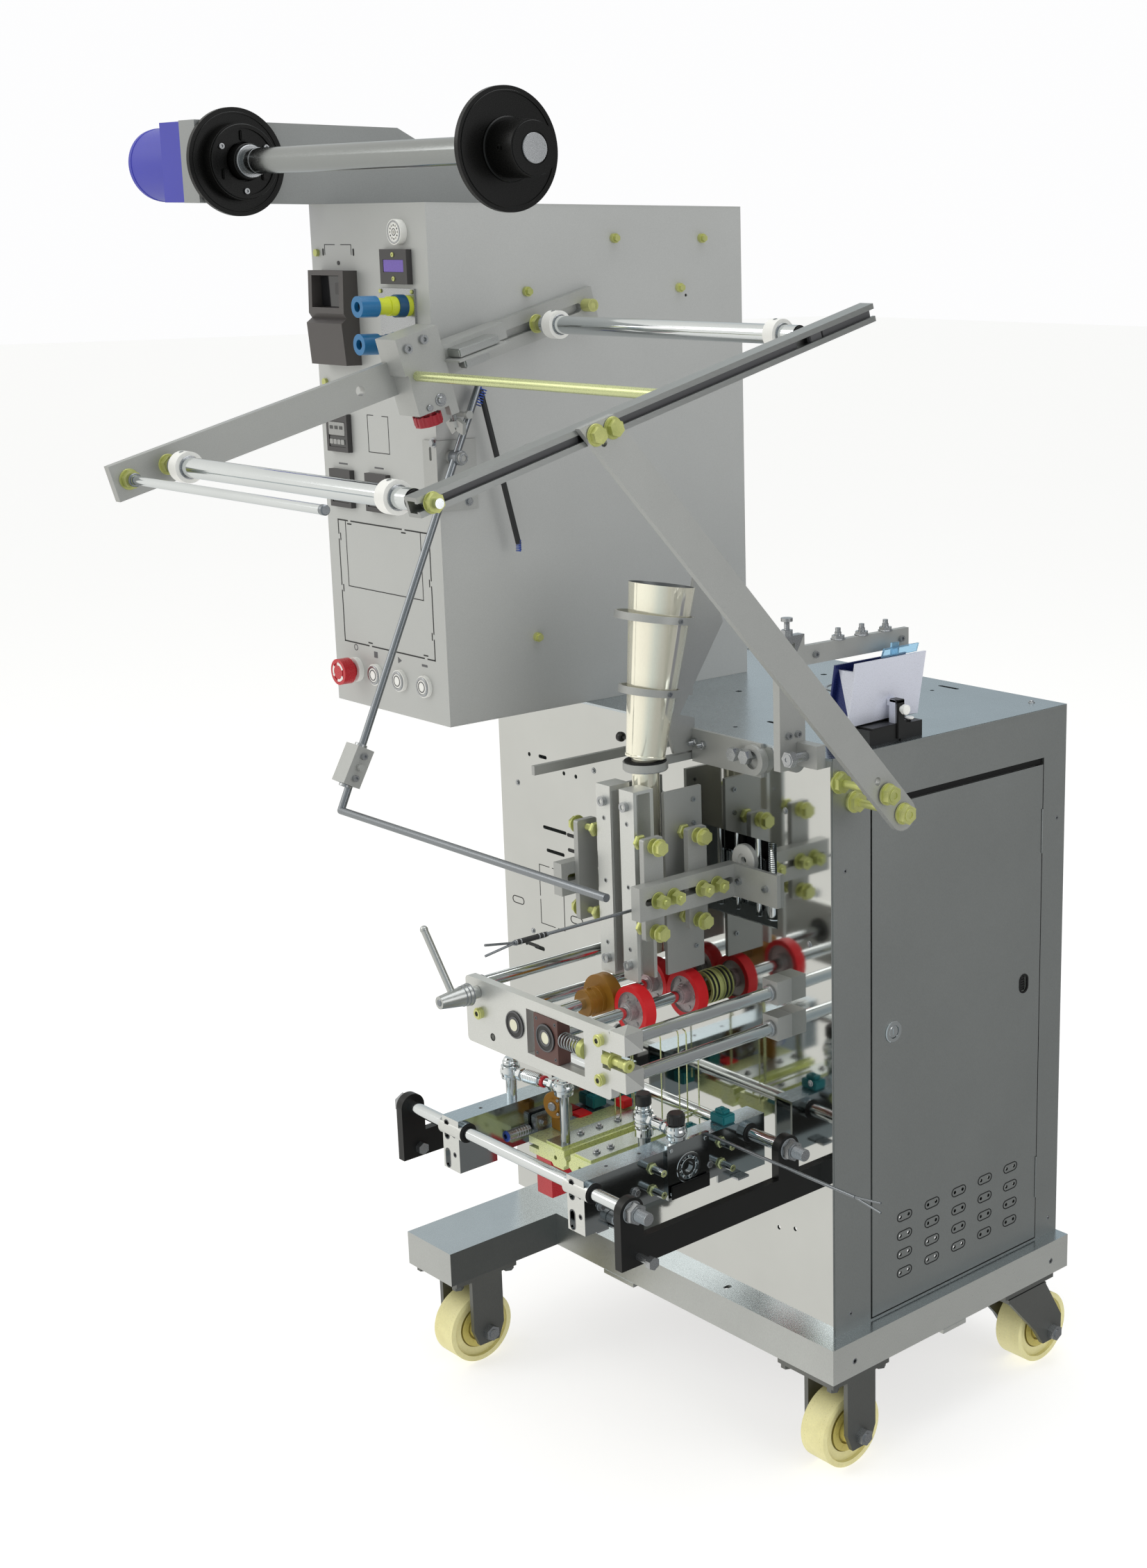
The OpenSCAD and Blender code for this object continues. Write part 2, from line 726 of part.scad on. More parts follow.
module steel_nuts() {
  z = base_top;
  color([0.7, 0.7, 0.7]) {
    // cross shaft nuts
    for (y = [shaft_front, shaft_rear]) {
      hex_x(y, shaft_z, -44, -33, 13);
      rod_x(y, shaft_z, -34, -14, cross_shaft_radius - 1);
      hex_x(y, shaft_z, -505, -494, 13);
    }
    // bolts of the arm ends
    for (y = [-268]) {
      rod_x(y, z + 210, -44, -22, 4.5);
      hex_x(y, z + 210, -24, -16, 8);
      hex_x(y, z + 210, -482, -474, 8);
      rod_x(y, z + 210, -502, -494, 6);
    }
    // bolts of the cross plate on top of the panel
    for (x = [-173, -151]) {
      hex_y(x, z + 734, 0, 9, 9);
      rod_y(x, z + 734, 8, panel_y - 5, 5);
    }
    // bolts of the coder stand
    for (x = [-49]) {
      hex_y(x, z + 752, -22, -13, 10);
      rod_y(x, z + 752, -14, 8, 6);
    }
  }
}

// ---- dancer and film sensor ----------------------------------------------------------------
dancer_y = -174;
dancer_z = 1272;

module dancer_bracket() {
  color([0.7, 0.7, 0.69]) {
    difference() {
      union() {
        block(box_right, box_right + 3, -box_front - 3, -136, dancer_z - 66, dancer_z + 20);
        block(-508, box_right + 3, -box_front - 3, -box_front, dancer_z - 66, dancer_z + 20);
      }
      plate_y(-box_front - 4, -box_front + 1) translate([-492, dancer_z + 4]) rotate(90) slot2d(17, 5);
    }
    rod_x(dancer_y, dancer_z, box_right + 3, box_right + 30, 4);
    rod_x(dancer_y, dancer_z, box_right + 3, box_right + 10, 8);
    rod_x(dancer_y, dancer_z, box_right + 26.3, box_right + 30, 6.5);
    // upper stop pin with its end ring
    rod_x(-163.4, dancer_z + 51.4, box_right, box_right + 32, 3);
    rod_x(-163.4, dancer_z + 51.4, box_right + 27, box_right + 32, 5);
  }
}

module dancer_arm() {
  x = box_right + 18;
  a = [x, -139, dancer_z + 84];
  b = [x, -364, 866];
  color([0.6, 0.61, 0.62]) {
    difference() {
      union() {
        rod_between(a, b, 4.5);
        rod_x(dancer_y, dancer_z, x - 7.5, x + 7.5, 9);
      }
      rod_x(dancer_y, dancer_z, x - 20, x + 20, 4 + fit);
    }
    translate(b) sphere(r = 4.5);
    rod_x(-364, 866, x, 40, 4.5);
    // weight block clamped on the arm
    translate([x, -344, 918]) rotate([-29, 0, 0]) difference() {
      cube([26, 24, 48], center = true);
      cylinder(h = 60, r = 4.4, center = true);
    }
    translate([x, -344, 918]) rotate([-29, 0, 0]) rod_x(0, 0, 12, 20, 4);
    // spring rod hanging from the top end
    rod_between([x + 2, -138, dancer_z + 80], [x + 4, -92, 1160], 3.5);
  }
}

// Holder of the film edge sensor, gripping the flat bar and the tie rod
module sensor_block() {
  w = film_bar_width / 2;
  x = bar_x + bar_thick;
  color([0.74, 0.74, 0.73]) film_frame() difference() {
    union() {
      block(x, x + 32, 366, 426, 4, w + 28);
      block(bar_x, x + 32, 366, 426, w + 0.1, w + 28);
      block(x, x + 32, 370, 414, -w - 26, 6);
      block(bar_x, x + 32, 370, 402, -w - 26, -w - 0.1);
      // strip of the wing screw
      block(x + 22, x + 32, 413, 425, -w - 38, 6);
      translate([x + 27, 419, -w - 54]) cylinder(h = 18, r = 3);
      translate([x + 27, 419, -w - 54]) cylinder(h = 8, r = 7);
      for (s = [-1, 1]) translate([x + 27 + s * 8, 419, -w - 56]) rotate([0, s * 25, 0])
        block(-6, 6, -2.5, 2.5, -6, 10);
      // shelf of the sensor running back over the bar's side
      block(x + 0.1, x + 30, 424, 520, 20, 23);
      block(x + 27, x + 30, 424, 520, 4, 23);
      block(x + 27, x + 62, 424, 500, 4, 6.5);
    }
    rod_x(382, 0, x - 1, x + 40, 6);
    for (p = [[378, 34], [402, 38]]) rod_x(p[0], p[1], x, x + 40, 4);
    rod_x(404, -36, x - 1, x + 40, 6);
    rod_x(386, -40, x + 10, x + 40, 4);
  }
}

module sensor_knob() {
  w = film_bar_width / 2;
  color([0.66, 0.08, 0.14]) film_frame() translate([bar_x + bar_thick + 16, 390, -w - 26.4]) {
    translate([0, 0, -16]) cylinder(h = 12, r = 17, $fn = 10);
    translate([0, 0, -5]) cylinder(h = 5, r = 11);
  }
}

// ---- forming funnel ------------------------------------------------------------------------
funnel_z = 911;
funnel_y = -53;
funnel_tilt = -9;

module funnel_frame() {
  translate([film_x, funnel_y, funnel_z]) rotate([funnel_tilt, 0, 0]) children();
}

module funnel() {
  color([0.8, 0.8, 0.8]) {
    funnel_frame() difference() {
      cylinder(h = 213, r1 = 24, r2 = 41);
      translate([0, 0, -1]) cylinder(h = 215, r1 = 22.4, r2 = 39.5);
    }
    difference() {
      rod_z(film_x, funnel_y, funnel_z - 250, funnel_z + 1, 17);
      rod_z(film_x, funnel_y, funnel_z - 251, funnel_z + 2, 15.5);
    }
  }
}

// Ring round the cone, set off by s towards the left and the front
module funnel_strap(h, r, s) {
  funnel_frame() translate([-s, -s, h]) difference() {
    union() {
      cylinder(h = 9, r = r + 3);
      block(-8, 8, r + 1, 64, 0, 9);
    }
    translate([0, 0, -1]) cylinder(h = 11, r = r);
  }
}

module funnel_mount() {
  z = base_top;
  color([0.6, 0.6, 0.6]) {
    funnel_strap(168, 46, 4);
    funnel_strap(78, 35, 2);
    // collar where the cone meets the tube
    difference() {
      rod_z(film_x, funnel_y, funnel_z - 14, funnel_z - 5, 28);
      rod_z(film_x, funnel_y, funnel_z - 15, funnel_z + 1, 17.2);
    }
    // gusset behind the cone
    plate_x(film_x + 2, film_x + 7)
      polygon([[-20, z + 748], [27, z + 940], [48, z + 940], [72, z + 878], [-2, z + 770],
               [22, z + 763], [22, z + 722], [-12, z + 722]]);
    // bar from the collar back to the panel, and the guide bar at its left
    block(film_x - 5, film_x + 5, -30, panel_y, funnel_z - 14, funnel_z - 5);
    block(-408, -402, -124, panel_y, z + 690, z + 702);
    // cross plate along the top of the panel
    difference() {
      block(-264, -137, panel_y - 5, panel_y, z + 708, z + 750);
      rod_y(-150, z + 722, panel_y - 6, panel_y + 1, 6);
    }
    difference() {
      rod_y(-148, z + 729, panel_y - 10, panel_y, 19);
      rod_y(-148, z + 729, panel_y - 11, panel_y - 4.9, 11);
    }
  }
}

// ---- vertical sealer -----------------------------------------------------------------------
module vseal_side() {
  z = base_top;
  // slotted bar along Y with its foot on the panel
  difference() {
    plate_x(-203, -187) translate([-57, z + 569]) square([158, 42], center = true);
    plate_x(-204, -186) translate([-57, z + 570]) slot2d(140, 9);
  }
  block(-187, -110, panel_y - 6, panel_y, z + 548, z + 590);
  // bracket plates
  for (y = [-100, -30]) difference() {
    plate_x(-211, -203) translate([y, z + 579]) rounded2d(30, 128, 3);
    for (dz = [525, 633]) rod_x(y, z + dz, -215, -200, 4.1);
  }
  // backing plate behind the sealing bar
  difference() {
    plate_x(-236, -231) translate([-28, z + 569]) square([60, 234], center = true);
    for (dz = [480, 600, 640, 670]) rod_x(-12, z + dz, -240, -230, 2.5);
  }
}

module vseal_frame() {
  color([0.62, 0.62, 0.62]) {
    vseal_side();
    translate([2 * film_x, 0, 0]) mirror([1, 0, 0]) vseal_side();
  }
}

// Channel bar, front face towards -Y; s = -1 left, 1 right
module vseal_bar(s) {
  z0 = base_top + 452;
  z1 = base_top + 694;
  translate([film_x, 0, 0]) scale([s, 1, 1]) {
    difference() {
      block(9, 36, -103, -72, z0, z1);
      block(14, 40, -98, -77, z0 - 1, z1 - 4);
      for (dz = [40, 120, 200]) rod_y(22, z0 + dz, -104, -97, 3.2);
    }
    for (dz = [20, 222]) hex_y(21, z0 + dz, -108, -102.9, 5.5);
  }
}

module vseal_bar_left() {
  color([0.8, 0.8, 0.79]) vseal_bar(-1);
}

module vseal_bar_right() {
  color([0.8, 0.8, 0.79]) vseal_bar(1);
}

// Thin sheathed heater probe: rod, dark sleeve and two leads
module probe_upper() {
  z = base_top + 556;
  color([0.55, 0.55, 0.56]) {
    rod_y(-213.1, z, -255, -92, 2);
    rod_y(-213.1, z, -302, -254, 3);
    rod_between([-213.1, -300, z], [-213.1, -342, z + 7], 1.5);
    rod_between([-213.1, -300, z], [-213.1, -342, z - 6], 1.5);
  }
}

module probe_lower() {
  z = base_top + 278;
  color([0.55, 0.55, 0.56]) {
    rod_x(-86, z, -119, 125, 2);
    rod_between([124, -86, z], [166.5, -86, z + 6], 1.4);
    rod_between([124, -86, z], [166.5, -86, z - 6], 1.4);
  }
}

// ---- film drive ----------------------------------------------------------------------------
module pull_frame() {
  z = base_top;
  y0 = -drive_reach;
  y1 = -drive_reach + 12;
  color([0.78, 0.79, 0.79]) {
    difference() {
      union() {
        plate_y(y0, y1) translate([-261, z + 414]) rounded2d(284, 86, 6);
      }
      // window of the sliding block and seat of the fixed bearing
      block(-279, -168, y0 - 1, y1 + 1, z + 387, z + 444);
      rod_y(drive_x1, drive_z, y0 - 1, y1 + 1, 17.5);
      // slot between the two lugs at the right end
      block(-134, -118, y0 - 1, y1 + 1, z + 408, z + 430);
      rod_y(-350, z + 388, y0 - 1, y1 + 1, 5);
      rod_x(-drive_reach + 6, z + 419, -170, -130, 4.1);
    }
    // fixed bearing seated in the plate
    difference() {
      rod_y(drive_x1, drive_z, y0 - 1.5, y1 + 1.5, 17.5);
      rod_y(drive_x1, drive_z, y0 - 3, y1 + 3, drive_shaft_radius + fit);
    }
    // lugs that carry the tie bars, front and rear
    for (dz = [400, 446]) {
      block(-119, -92, y0, y0 + 27, z + dz - 14, z + dz + 12);
      block(-119, -92, panel_y - 24, panel_y, z + dz - 14, z + dz + 16);
    }
    for (dz = [400, 446]) block(-400, -376, panel_y - 12, panel_y, z + dz - 10, z + dz + 10);
    // guides of the sliding block
    block(-279, -168, y1, y1 + 6, z + 380, z + 386.6);
    block(-279, -168, y1, y1 + 6, z + 444.4, z + 451);
  }
}

module pull_ties() {
  z = base_top;
  color([0.72, 0.73, 0.74]) {
    for (x = [-105], dz = [400, 446]) rod_y(x, z + dz, -drive_reach + 27, panel_y - 24, 8);
    for (x = [-388], dz = [400, 446]) rod_y(x, z + dz, -drive_reach + 12, panel_y - 12, 8);
  }
}

module drive_shaft() {
  color([0.8, 0.8, 0.8]) rod_y(drive_x1, drive_z, -drive_reach - 3, panel_y + 40, drive_shaft_radius);
}

module idle_shaft() {
  color([0.8, 0.8, 0.8]) rod_y(drive_x2, drive_z, -drive_reach - 3, panel_y + 40, drive_shaft_radius);
}

// Tyred wheel with a plain hub
module film_wheel(x, y) {
  difference() {
    union() {
      rod_y(x, drive_z, y - 8, y + 8, drive_wheel_radius);
      rod_y(x, drive_z, y - 15, y + 12, 12);
    }
    for (s = [-1, 1]) difference() {
      rod_y(x, drive_z, y + s * 8 - 3, y + s * 8 + 3, 24);
      rod_y(x, drive_z, y + s * 8 - 4, y + s * 8 + 4, 12.01);
    }
    rod_y(x, drive_z, y - 30, y + 30, drive_shaft_radius - 0.01);
  }
}

module drive_rolls() {
  color([0.78, 0.1, 0.1]) {
    film_wheel(drive_x1, -20);
    difference() {
      union() {
        rod_y(drive_x1, drive_z, -113, -97, drive_wheel_radius);
        rod_y(drive_x1, drive_z, -138, -112, 17);
      }
      rod_y(drive_x1, drive_z, -150, -80, drive_shaft_radius - 0.01);
    }
  }
}

module idle_wheels() {
  color([0.78, 0.1, 0.1]) {
    film_wheel(drive_x2, -20);
    film_wheel(drive_x2, -105);
  }
}

// Bearing block sliding in the window, with its bearing
module bearing_block() {
  y0 = -drive_reach;
  z = base_top;
  color([0.26, 0.16, 0.14]) difference() {
    union() {
      block(drive_x2 - 23, drive_x2 + 23, y0 - 1.5, y0 + 17, z + 387.4, z + 443.6);
      rod_y(drive_x2, drive_z, y0 - 3, y0 + 18, 17.5);
    }
    rod_y(drive_x2, drive_z, y0 - 5, y0 + 22, drive_shaft_radius + fit);
    for (sx = [-1, 1], sz = [-1, 1])
      rod_y(drive_x2 + sx * 18, z + 415.5 + sz * 22, y0 - 2, y0 + 4, 1.8);
  }
}

// Coil spring that pushes the block, drawn as rings joined by short bars
module block_spring() {
  y = -drive_reach + 6;
  z = base_top + 419;
  x0 = drive_x2 + 23;
  x1 = -174.5;
  turns = 7;
  pitch = (x1 - x0 - 2) / (turns - 1);
  color([0.8, 0.8, 0.8]) {
    for (i = [0:turns - 1]) translate([x0 + 1 + i * pitch, y, z]) rotate([0, 90, 0])
      rotate_extrude() translate([9, 0]) circle(r = 1, $fn = 16);
    for (i = [0:turns - 2]) translate([x0 + 1 + i * pitch, y, z + (i % 2 == 0 ? 9 : -9)])
      rotate([0, 90, 0]) cylinder(h = pitch, r = 0.9, $fn = 16);
  }
}

// Clamping lever of the film rolls: tapered hub along Y and a thin handle
module cam_handle() {
  z = base_top;
  y = -drive_reach - 0.4;
  color([0.62, 0.63, 0.64]) {
    translate([-378, y, z + 440]) rotate([90, 0, 0]) cylinder(h = 14, r = 8);
    translate([-378, y - 12, z + 440]) rotate([90, 0, 0]) cylinder(h = 44, r1 = 14, r2 = 8);
    rod_between([-378, y - 34, z + 440], [-424, y - 42, z + 520], 4.5);
    translate([-424, y - 42, z + 520]) sphere(r = 5);
  }
}

// ---- horizontal sealer ---------------------------------------------------------------------
module jaw_arm(x0, x1) {
  z0 = base_top + 198;
  difference() {
    union() {
      block(x0, x1, -262, panel_y, z0, z0 + 34);
      block(x0, x1, -293, -259, z0, shaft_z + 1);
      block(x0, x1, -48, -14, z0 + 30, shaft_z + 1);
      for (y = [shaft_front, shaft_rear]) rod_x(y, shaft_z, x0, x1, 17);
    }
    for (y = [shaft_front, shaft_rear]) rod_x(y, shaft_z, x0 - 1, x1 + 1, cross_shaft_radius + 0.01);
    rod_x(-268, z0 + 12, x0 - 1, x1 + 1, 4.6);
  }
}

module jaw_arms() {
  color([0.05, 0.05, 0.05]) {
    jaw_arm(-56, -44);
    jaw_arm(-494, -482);
  }
}

module jaw_shafts() {
  color([0.8, 0.81, 0.82])
    for (y = [shaft_front, shaft_rear]) rod_x(y, shaft_z, -494, -44, cross_shaft_radius);
}

// Channel carriage along Y with its two bushings; x0 is its left face, w its width
module carriage(x0, w) {
  z0 = base_top + 215;
  z1 = base_top + 284;
  t = 3;
  difference() {
    union() {
      block(x0, x0 + t, -286, -2, z0, z1);
      block(x0 + w - t, x0 + w, -286, -2, z0, z1);
      block(x0, x0 + w, -286, -2, z1 - t, z1);
      block(x0, x0 + w, -286, -283, z0, z1);
      for (y = [shaft_front, shaft_rear]) rod_x(y, shaft_z, x0 - 6, x0 + w + 6, 12.6);
    }
    for (y = [shaft_front, shaft_rear]) rod_x(y, shaft_z, x0 - 40, x0 + w + 40, cross_shaft_radius + fit);
    for (dz = [14, 52]) plate_y(-287, -282) translate([x0 + 9, z0 + dz]) rotate(90) slot2d(24, 8);
    for (dz = [22, 48]) rod_y(x0 + 24, z0 + dz, -287, -282, 3.5);
    for (y = [-240, -190, -120, -70]) rod_z(x0 + w / 2, y, z1 - 5, z1 + 1, 2.5);
    block(x0 - 1, x0 + w + 1, -230, -80, z0 - 1, z0 + 10);
  }
}

// Upright pivot with its rod-end eye
module link_post(x, y, z0, z_eye, z_top, r) {
  rod_z(x, y, z0, z_top, r);
  rod_z(x, y, z_eye - 8, z_eye + 8, 12);
}

// Level rod between two eyes, from point to point in plan
module link_rod(a, b, z) {
  d = b - a;
  translate([a[0], a[1], z]) rotate([0, 0, atan2(d[1], d[0])])
    translate([9, 0, 0]) rotate([0, 90, 0]) cylinder(h = norm(d) - 18, r = 5.5);
}

module left_carriage() {
  x = left_carriage_x;
  z = base_top;
  color([0.7, 0.72, 0.73]) {
    carriage(x, 34);
    // carrier between the channel and the jaw
    block(x + 33, film_x - jaw_gap / 2 - jaw_width, -180, -60, z + 222, z + 244);
    // pivot posts and jaw link above
    link_post(x + 17, -192, z + 283, z + 320, z + 336, 7);
    link_post(film_x - 21, -180, z + 247, z + 320, z + 330, 6);
    link_rod([x + 17, -192], [film_x - 21, -180], z + 320);
  }
}

module right_carriage() {
  x = right_carriage_x;
  z = base_top;
  color([0.7, 0.72, 0.73]) {
    carriage(x, 32);
    block(film_x + jaw_gap / 2 + right_jaw_width, x + 1, -180, -60, z + 222, z + 244);
    // plate with a round opening on the right face
    difference() {
      block(x + 31, x + 36, -163, -97, z + 220, z + 290);
      rod_x(-130, z + 254, x + 28, x + 40, 19);
    }
    // four spacer studs
    for (y = [-184, -75], dz = [240, 268]) rod_x(y, z + dz, x + 30, x + 54, 4.5);
    // pivot posts and jaw link above
    link_post(x + 26, -140, z + 283, z + 300, z + 314, 8);
    link_post(-186, -140, z + 243, z + 300, z + 326, 8);
    link_rod([x + 26, -140], [-186, -140], z + 300);
  }
}

// Jaw block with its seal edge and clamp plate; s = -1 left, 1 right, w its width
module jaw(s, w) {
  z0 = base_top + 218;
  z1 = base_top + 247;
  g = jaw_gap / 2;
  translate([film_x, 0, 0]) scale([s, 1, 1]) difference() {
    union() {
      plate_y(jaw_front, jaw_front + jaw_length)
        polygon([[g, z0 + 8], [g, z0 + 14], [g + 4, z0 + 18], [g + 4, z1 - 3], [g + w, z1 - 3],
                 [g + w, z0 + 4], [g + 30, z0 + 4], [g + 26, z0], [g + 6, z0], [g + 6, z0 + 4]]);
      block(g + 10, g + 42, jaw_front + 2, jaw_front + jaw_length - 2, z1 - 4, z1);
    }
    for (y = [30, 75, 120]) rod_y(g + 22, z0 + 12, jaw_front - 1, jaw_front + 20, 3);
    block(g + w - 20, g + w + 1, jaw_front - 1, jaw_front + 14, z0 + 12, z0 + 17);
  }
}

module left_jaw() {
  z = base_top;
  color([0.85, 0.87, 0.66]) {
    jaw(-1, jaw_width);
    block(film_x - 64, film_x - 34, jaw_front, jaw_front + 42, z + 172, z + 224);
  }
}

module right_jaw() {
  color([0.85, 0.87, 0.66]) jaw(1, right_jaw_width);
}

// ---- coder on top --------------------------------------------------------------------------
module coder_body() {
  z = base_top;
  color([0.55, 0.55, 0.55]) {
    // upright plate with the adjusting slot, standing on the face of the panel
    difference() {
      plate_x(-75, -64) union() {
        translate([1.5, z + 826]) square([41, 136], center = true);
        translate([1.5, z + 758]) square([41, 40], center = true);
        translate([-7, z + 738]) square([24, 8], center = true);
        translate([9, z + 742]) circle(r = 13);
      }
      plate_x(-76, -63) translate([4, z + 876]) rotate(90) slot2d(20, 5);
    }
    // foot on the panel
    block(-66, -30, 8, panel_y, z + 738, z + 766);
    translate([-69.5, -1, z + 893]) cylinder(h = 8, r = 7, $fn = 6);
    translate([-69.5, -1, z + 900]) cylinder(h = 12, r = 3);
    translate([-69.5, -1, z + 911]) cylinder(h = 4, r = 7);
    // upper rail of the unit with its adjusting bolts
    block(-73, -65, 20, 200, z + 856, z + 879);
    for (y = [82, 122, 163]) {
      translate([-69, y, z + 878]) cylinder(h = 6, r = 8, $fn = 6);
      translate([-69, y, z + 883]) cylinder(h = 5, r = 4);
    }
    // square black rail on the top plate, with its clamp and hook
    block(-62, -34, 100, 192, z + 750, z + 769);
    block(-46, -36, 146, 158, z + 768, z + 800);
    block(-50, -45.9, 146, 158, z + 792, z + 800);
    block(-64, -32, 152, 162, z + 750, z + 774);
    rod_z(-48, 178, z + 768, z + 772, 6);
  }
}

// Slanted sheet chute hanging between the rail and the top plate
module coder_chute() {
  z = base_top;
  color([0.74, 0.76, 0.8]) difference() {
    union() {
      plate_y(84, 206) polygon([[-58, z + 772], [-55, z + 772], [-41, z + 852], [-44, z + 852]]);
      plate_y(84, 206) polygon([[-95, z + 750], [-92, z + 750], [-75, z + 846], [-78, z + 846]]);
      plate_y(90, 93) polygon([[-93, z + 756], [-56, z + 774], [-43, z + 840], [-77, z + 840]]);
      plate_y(197, 200) polygon([[-93, z + 756], [-56, z + 774], [-43, z + 840], [-77, z + 840]]);
    }
    for (y = [190, 206]) translate([0, y, 0]) rotate([-10, 0, 0]) translate([0, 12, 0])
      block(-60, -35, 0, 60, z + 600, z + 780);
  }
}

module coder() {
  coder_body();
  coder_chute();
}

place() base_frame();
place() caster_forks();
place() cabinet();
place() top_plate();
place() control_box();
place() panel_fittings();
place() breaker_cover();
place() controllers();
place() sensor_plugs();
place() roll_arm();
place() roll_motor();
place() film_bar();
place() film_rail();
place() strut();
place() yellow_bolts();
place() steel_nuts();
place() roller_axles();
place() dancer_bracket();
place() funnel();
place() funnel_mount();
place() vseal_frame();
place() pull_frame();
place() pull_ties();
place() jaw_arms();
place() jaw_shafts();
place() coder();
place() probe_upper();
place() probe_lower();
place() door();
place() estop_button();
place() button_stop();
place() button_start();
place() button_jog();
place() roll_shaft();
place() roll_flange_left();
place() roll_flange_right();
place() roller_front();
place() roller_rear();
place() dancer_arm();
place() sensor_block();
place() sensor_knob();
place() vseal_bar_left();
place() vseal_bar_right();
place() drive_shaft();
place() idle_shaft();
place() drive_rolls();
place() idle_wheels();
place() bearing_block();
place() block_spring();
place() cam_handle();
place() left_carriage();
place() right_carriage();
place() left_jaw();
place() right_jaw();
place() wheel_outrigger();
place() wheel_front();
place() wheel_rear_right();
place() wheel_rear_left();
place() swivel_right();
place() swivel_left();
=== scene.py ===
import math

import bmesh
import bpy
from mathutils import Matrix, Vector
from mathutils.geometry import tessellate_polygon


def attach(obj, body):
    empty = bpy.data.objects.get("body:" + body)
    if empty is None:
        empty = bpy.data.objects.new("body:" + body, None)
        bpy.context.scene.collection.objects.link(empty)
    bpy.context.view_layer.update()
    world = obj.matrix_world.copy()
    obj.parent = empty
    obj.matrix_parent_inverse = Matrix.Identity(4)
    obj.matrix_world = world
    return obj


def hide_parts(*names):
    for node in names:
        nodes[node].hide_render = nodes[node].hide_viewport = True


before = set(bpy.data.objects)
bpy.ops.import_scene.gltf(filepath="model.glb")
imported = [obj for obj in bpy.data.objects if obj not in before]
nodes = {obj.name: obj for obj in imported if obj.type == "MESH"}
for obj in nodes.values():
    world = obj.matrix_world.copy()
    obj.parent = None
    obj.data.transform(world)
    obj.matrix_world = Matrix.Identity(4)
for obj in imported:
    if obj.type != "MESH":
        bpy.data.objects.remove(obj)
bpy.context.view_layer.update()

# The machine's own millimetres: x = 0 base right face, y = 0 base front face, z = 0 floor
SHIFT = Vector((358.0, 69.12, 0.0))
BASE = 187.0          # top of the base frame
BOX_Y = -191.0        # front face of the control box
BOX_X = -482.0        # right face of the control box
FILM_X = -270.7       # centre of the film path
DRIVE_Z = 604.0
DRIVE_X = (-302.0, -239.4)
SHAFT_Z = 455.0


def srgb(r, g, b):
    """Linear colour of an 8-bit display colour."""
    def one(v):
        v /= 255
        return v / 12.92 if v <= 0.04045 else ((v + 0.055) / 1.055) ** 2.4
    return (one(r), one(g), one(b), 1.0)


# ---- materials -------------------------------------------------------------------------------
class Tree:
    """A material's nodes, with its Principled shader and object coordinates."""

    def __init__(self, name):
        self.mat = bpy.data.materials.new(name)
        self.mat.use_nodes = True
        self.nt = self.mat.node_tree
        self.bsdf = self.nt.nodes["Principled BSDF"]
        self.coords = self.nt.nodes.new("ShaderNodeTexCoord").outputs["Object"]

    def new(self, kind, **values):
        node = self.nt.nodes.new(kind)
        for key, value in values.items():
            if key in node.inputs:
                node.inputs[key].default_value = value
            else:
                setattr(node, key, value)
        return node

    def link(self, a, b):
        self.nt.links.new(a, b)

    def noise(self, scale, stretch=(1, 1, 1), detail=3.0):
        mapping = self.new("ShaderNodeMapping")
        mapping.inputs["Scale"].default_value = stretch
        self.link(self.coords, mapping.inputs["Vector"])
        node = self.new("ShaderNodeTexNoise", Scale=scale, Detail=detail, Roughness=0.6)
        self.link(mapping.outputs["Vector"], node.inputs["Vector"])
        return node.outputs["Fac"]

    def remap(self, value, lo, hi, start=0.25, end=0.75):
        node = self.new("ShaderNodeMapRange")
        for key, number in (("From Min", start), ("From Max", end), ("To Min", lo), ("To Max", hi)):
            node.inputs[key].default_value = number
        self.link(value, node.inputs["Value"])
        return node.outputs["Result"]

    def mix(self, fac, a, b):
        node = self.new("ShaderNodeMix", data_type="RGBA")
        for value, socket in ((fac, node.inputs[0]), (a, node.inputs[6]), (b, node.inputs[7])):
            if isinstance(value, bpy.types.NodeSocket):
                self.link(value, socket)
            else:
                socket.default_value = value
        return node.outputs[2]

    def scaled(self, colour, amount):
        node = self.new("ShaderNodeVectorMath", operation="SCALE")
        if isinstance(colour, bpy.types.NodeSocket):
            self.link(colour, node.inputs[0])
        else:
            node.inputs[0].default_value = colour[:3]
        self.link(amount, node.inputs["Scale"])
        return node.outputs["Vector"]

    def bump(self, height, strength):
        node = self.new("ShaderNodeBump", Strength=strength, Distance=0.0003)
        self.link(height, node.inputs["Height"])
        self.link(node.outputs["Normal"], self.bsdf.inputs["Normal"])


def surface(name, colour, rough, metal, grain, spread, cloud, rough_spread, bump, stretch=(1, 1, 1),
            coat=0.0, tint=None, tint_share=0.5, spec=None):
    """A finish with fine grain, wide soft clouds and an optional second tint in patches."""
    t = Tree(name)
    fine = t.noise(grain, stretch)
    wide = t.noise(7, detail=4.0)
    base = srgb(*colour)
    if tint:
        base = t.mix(t.remap(t.noise(18, detail=5.0), 0.0, tint_share, 0.45, 0.65), base, srgb(*tint))
    shade = t.scaled(base, t.remap(fine, 1 - spread, 1 + spread))
    shade = t.scaled(shade, t.remap(wide, 1 - cloud, 1 + cloud, 0.3, 0.7))
    t.link(shade, t.bsdf.inputs["Base Color"])
    t.link(t.remap(fine, max(rough - rough_spread, 0.02), min(rough + rough_spread, 1.0)),
           t.bsdf.inputs["Roughness"])
    t.bsdf.inputs["Metallic"].default_value = metal
    if spec is not None:
        t.bsdf.inputs["Specular IOR Level"].default_value = spec
    if coat:
        t.bsdf.inputs["Coat Weight"].default_value = coat
        t.bsdf.inputs["Coat Roughness"].default_value = 0.08
    if bump:
        t.bump(fine, bump)
    return t.mat


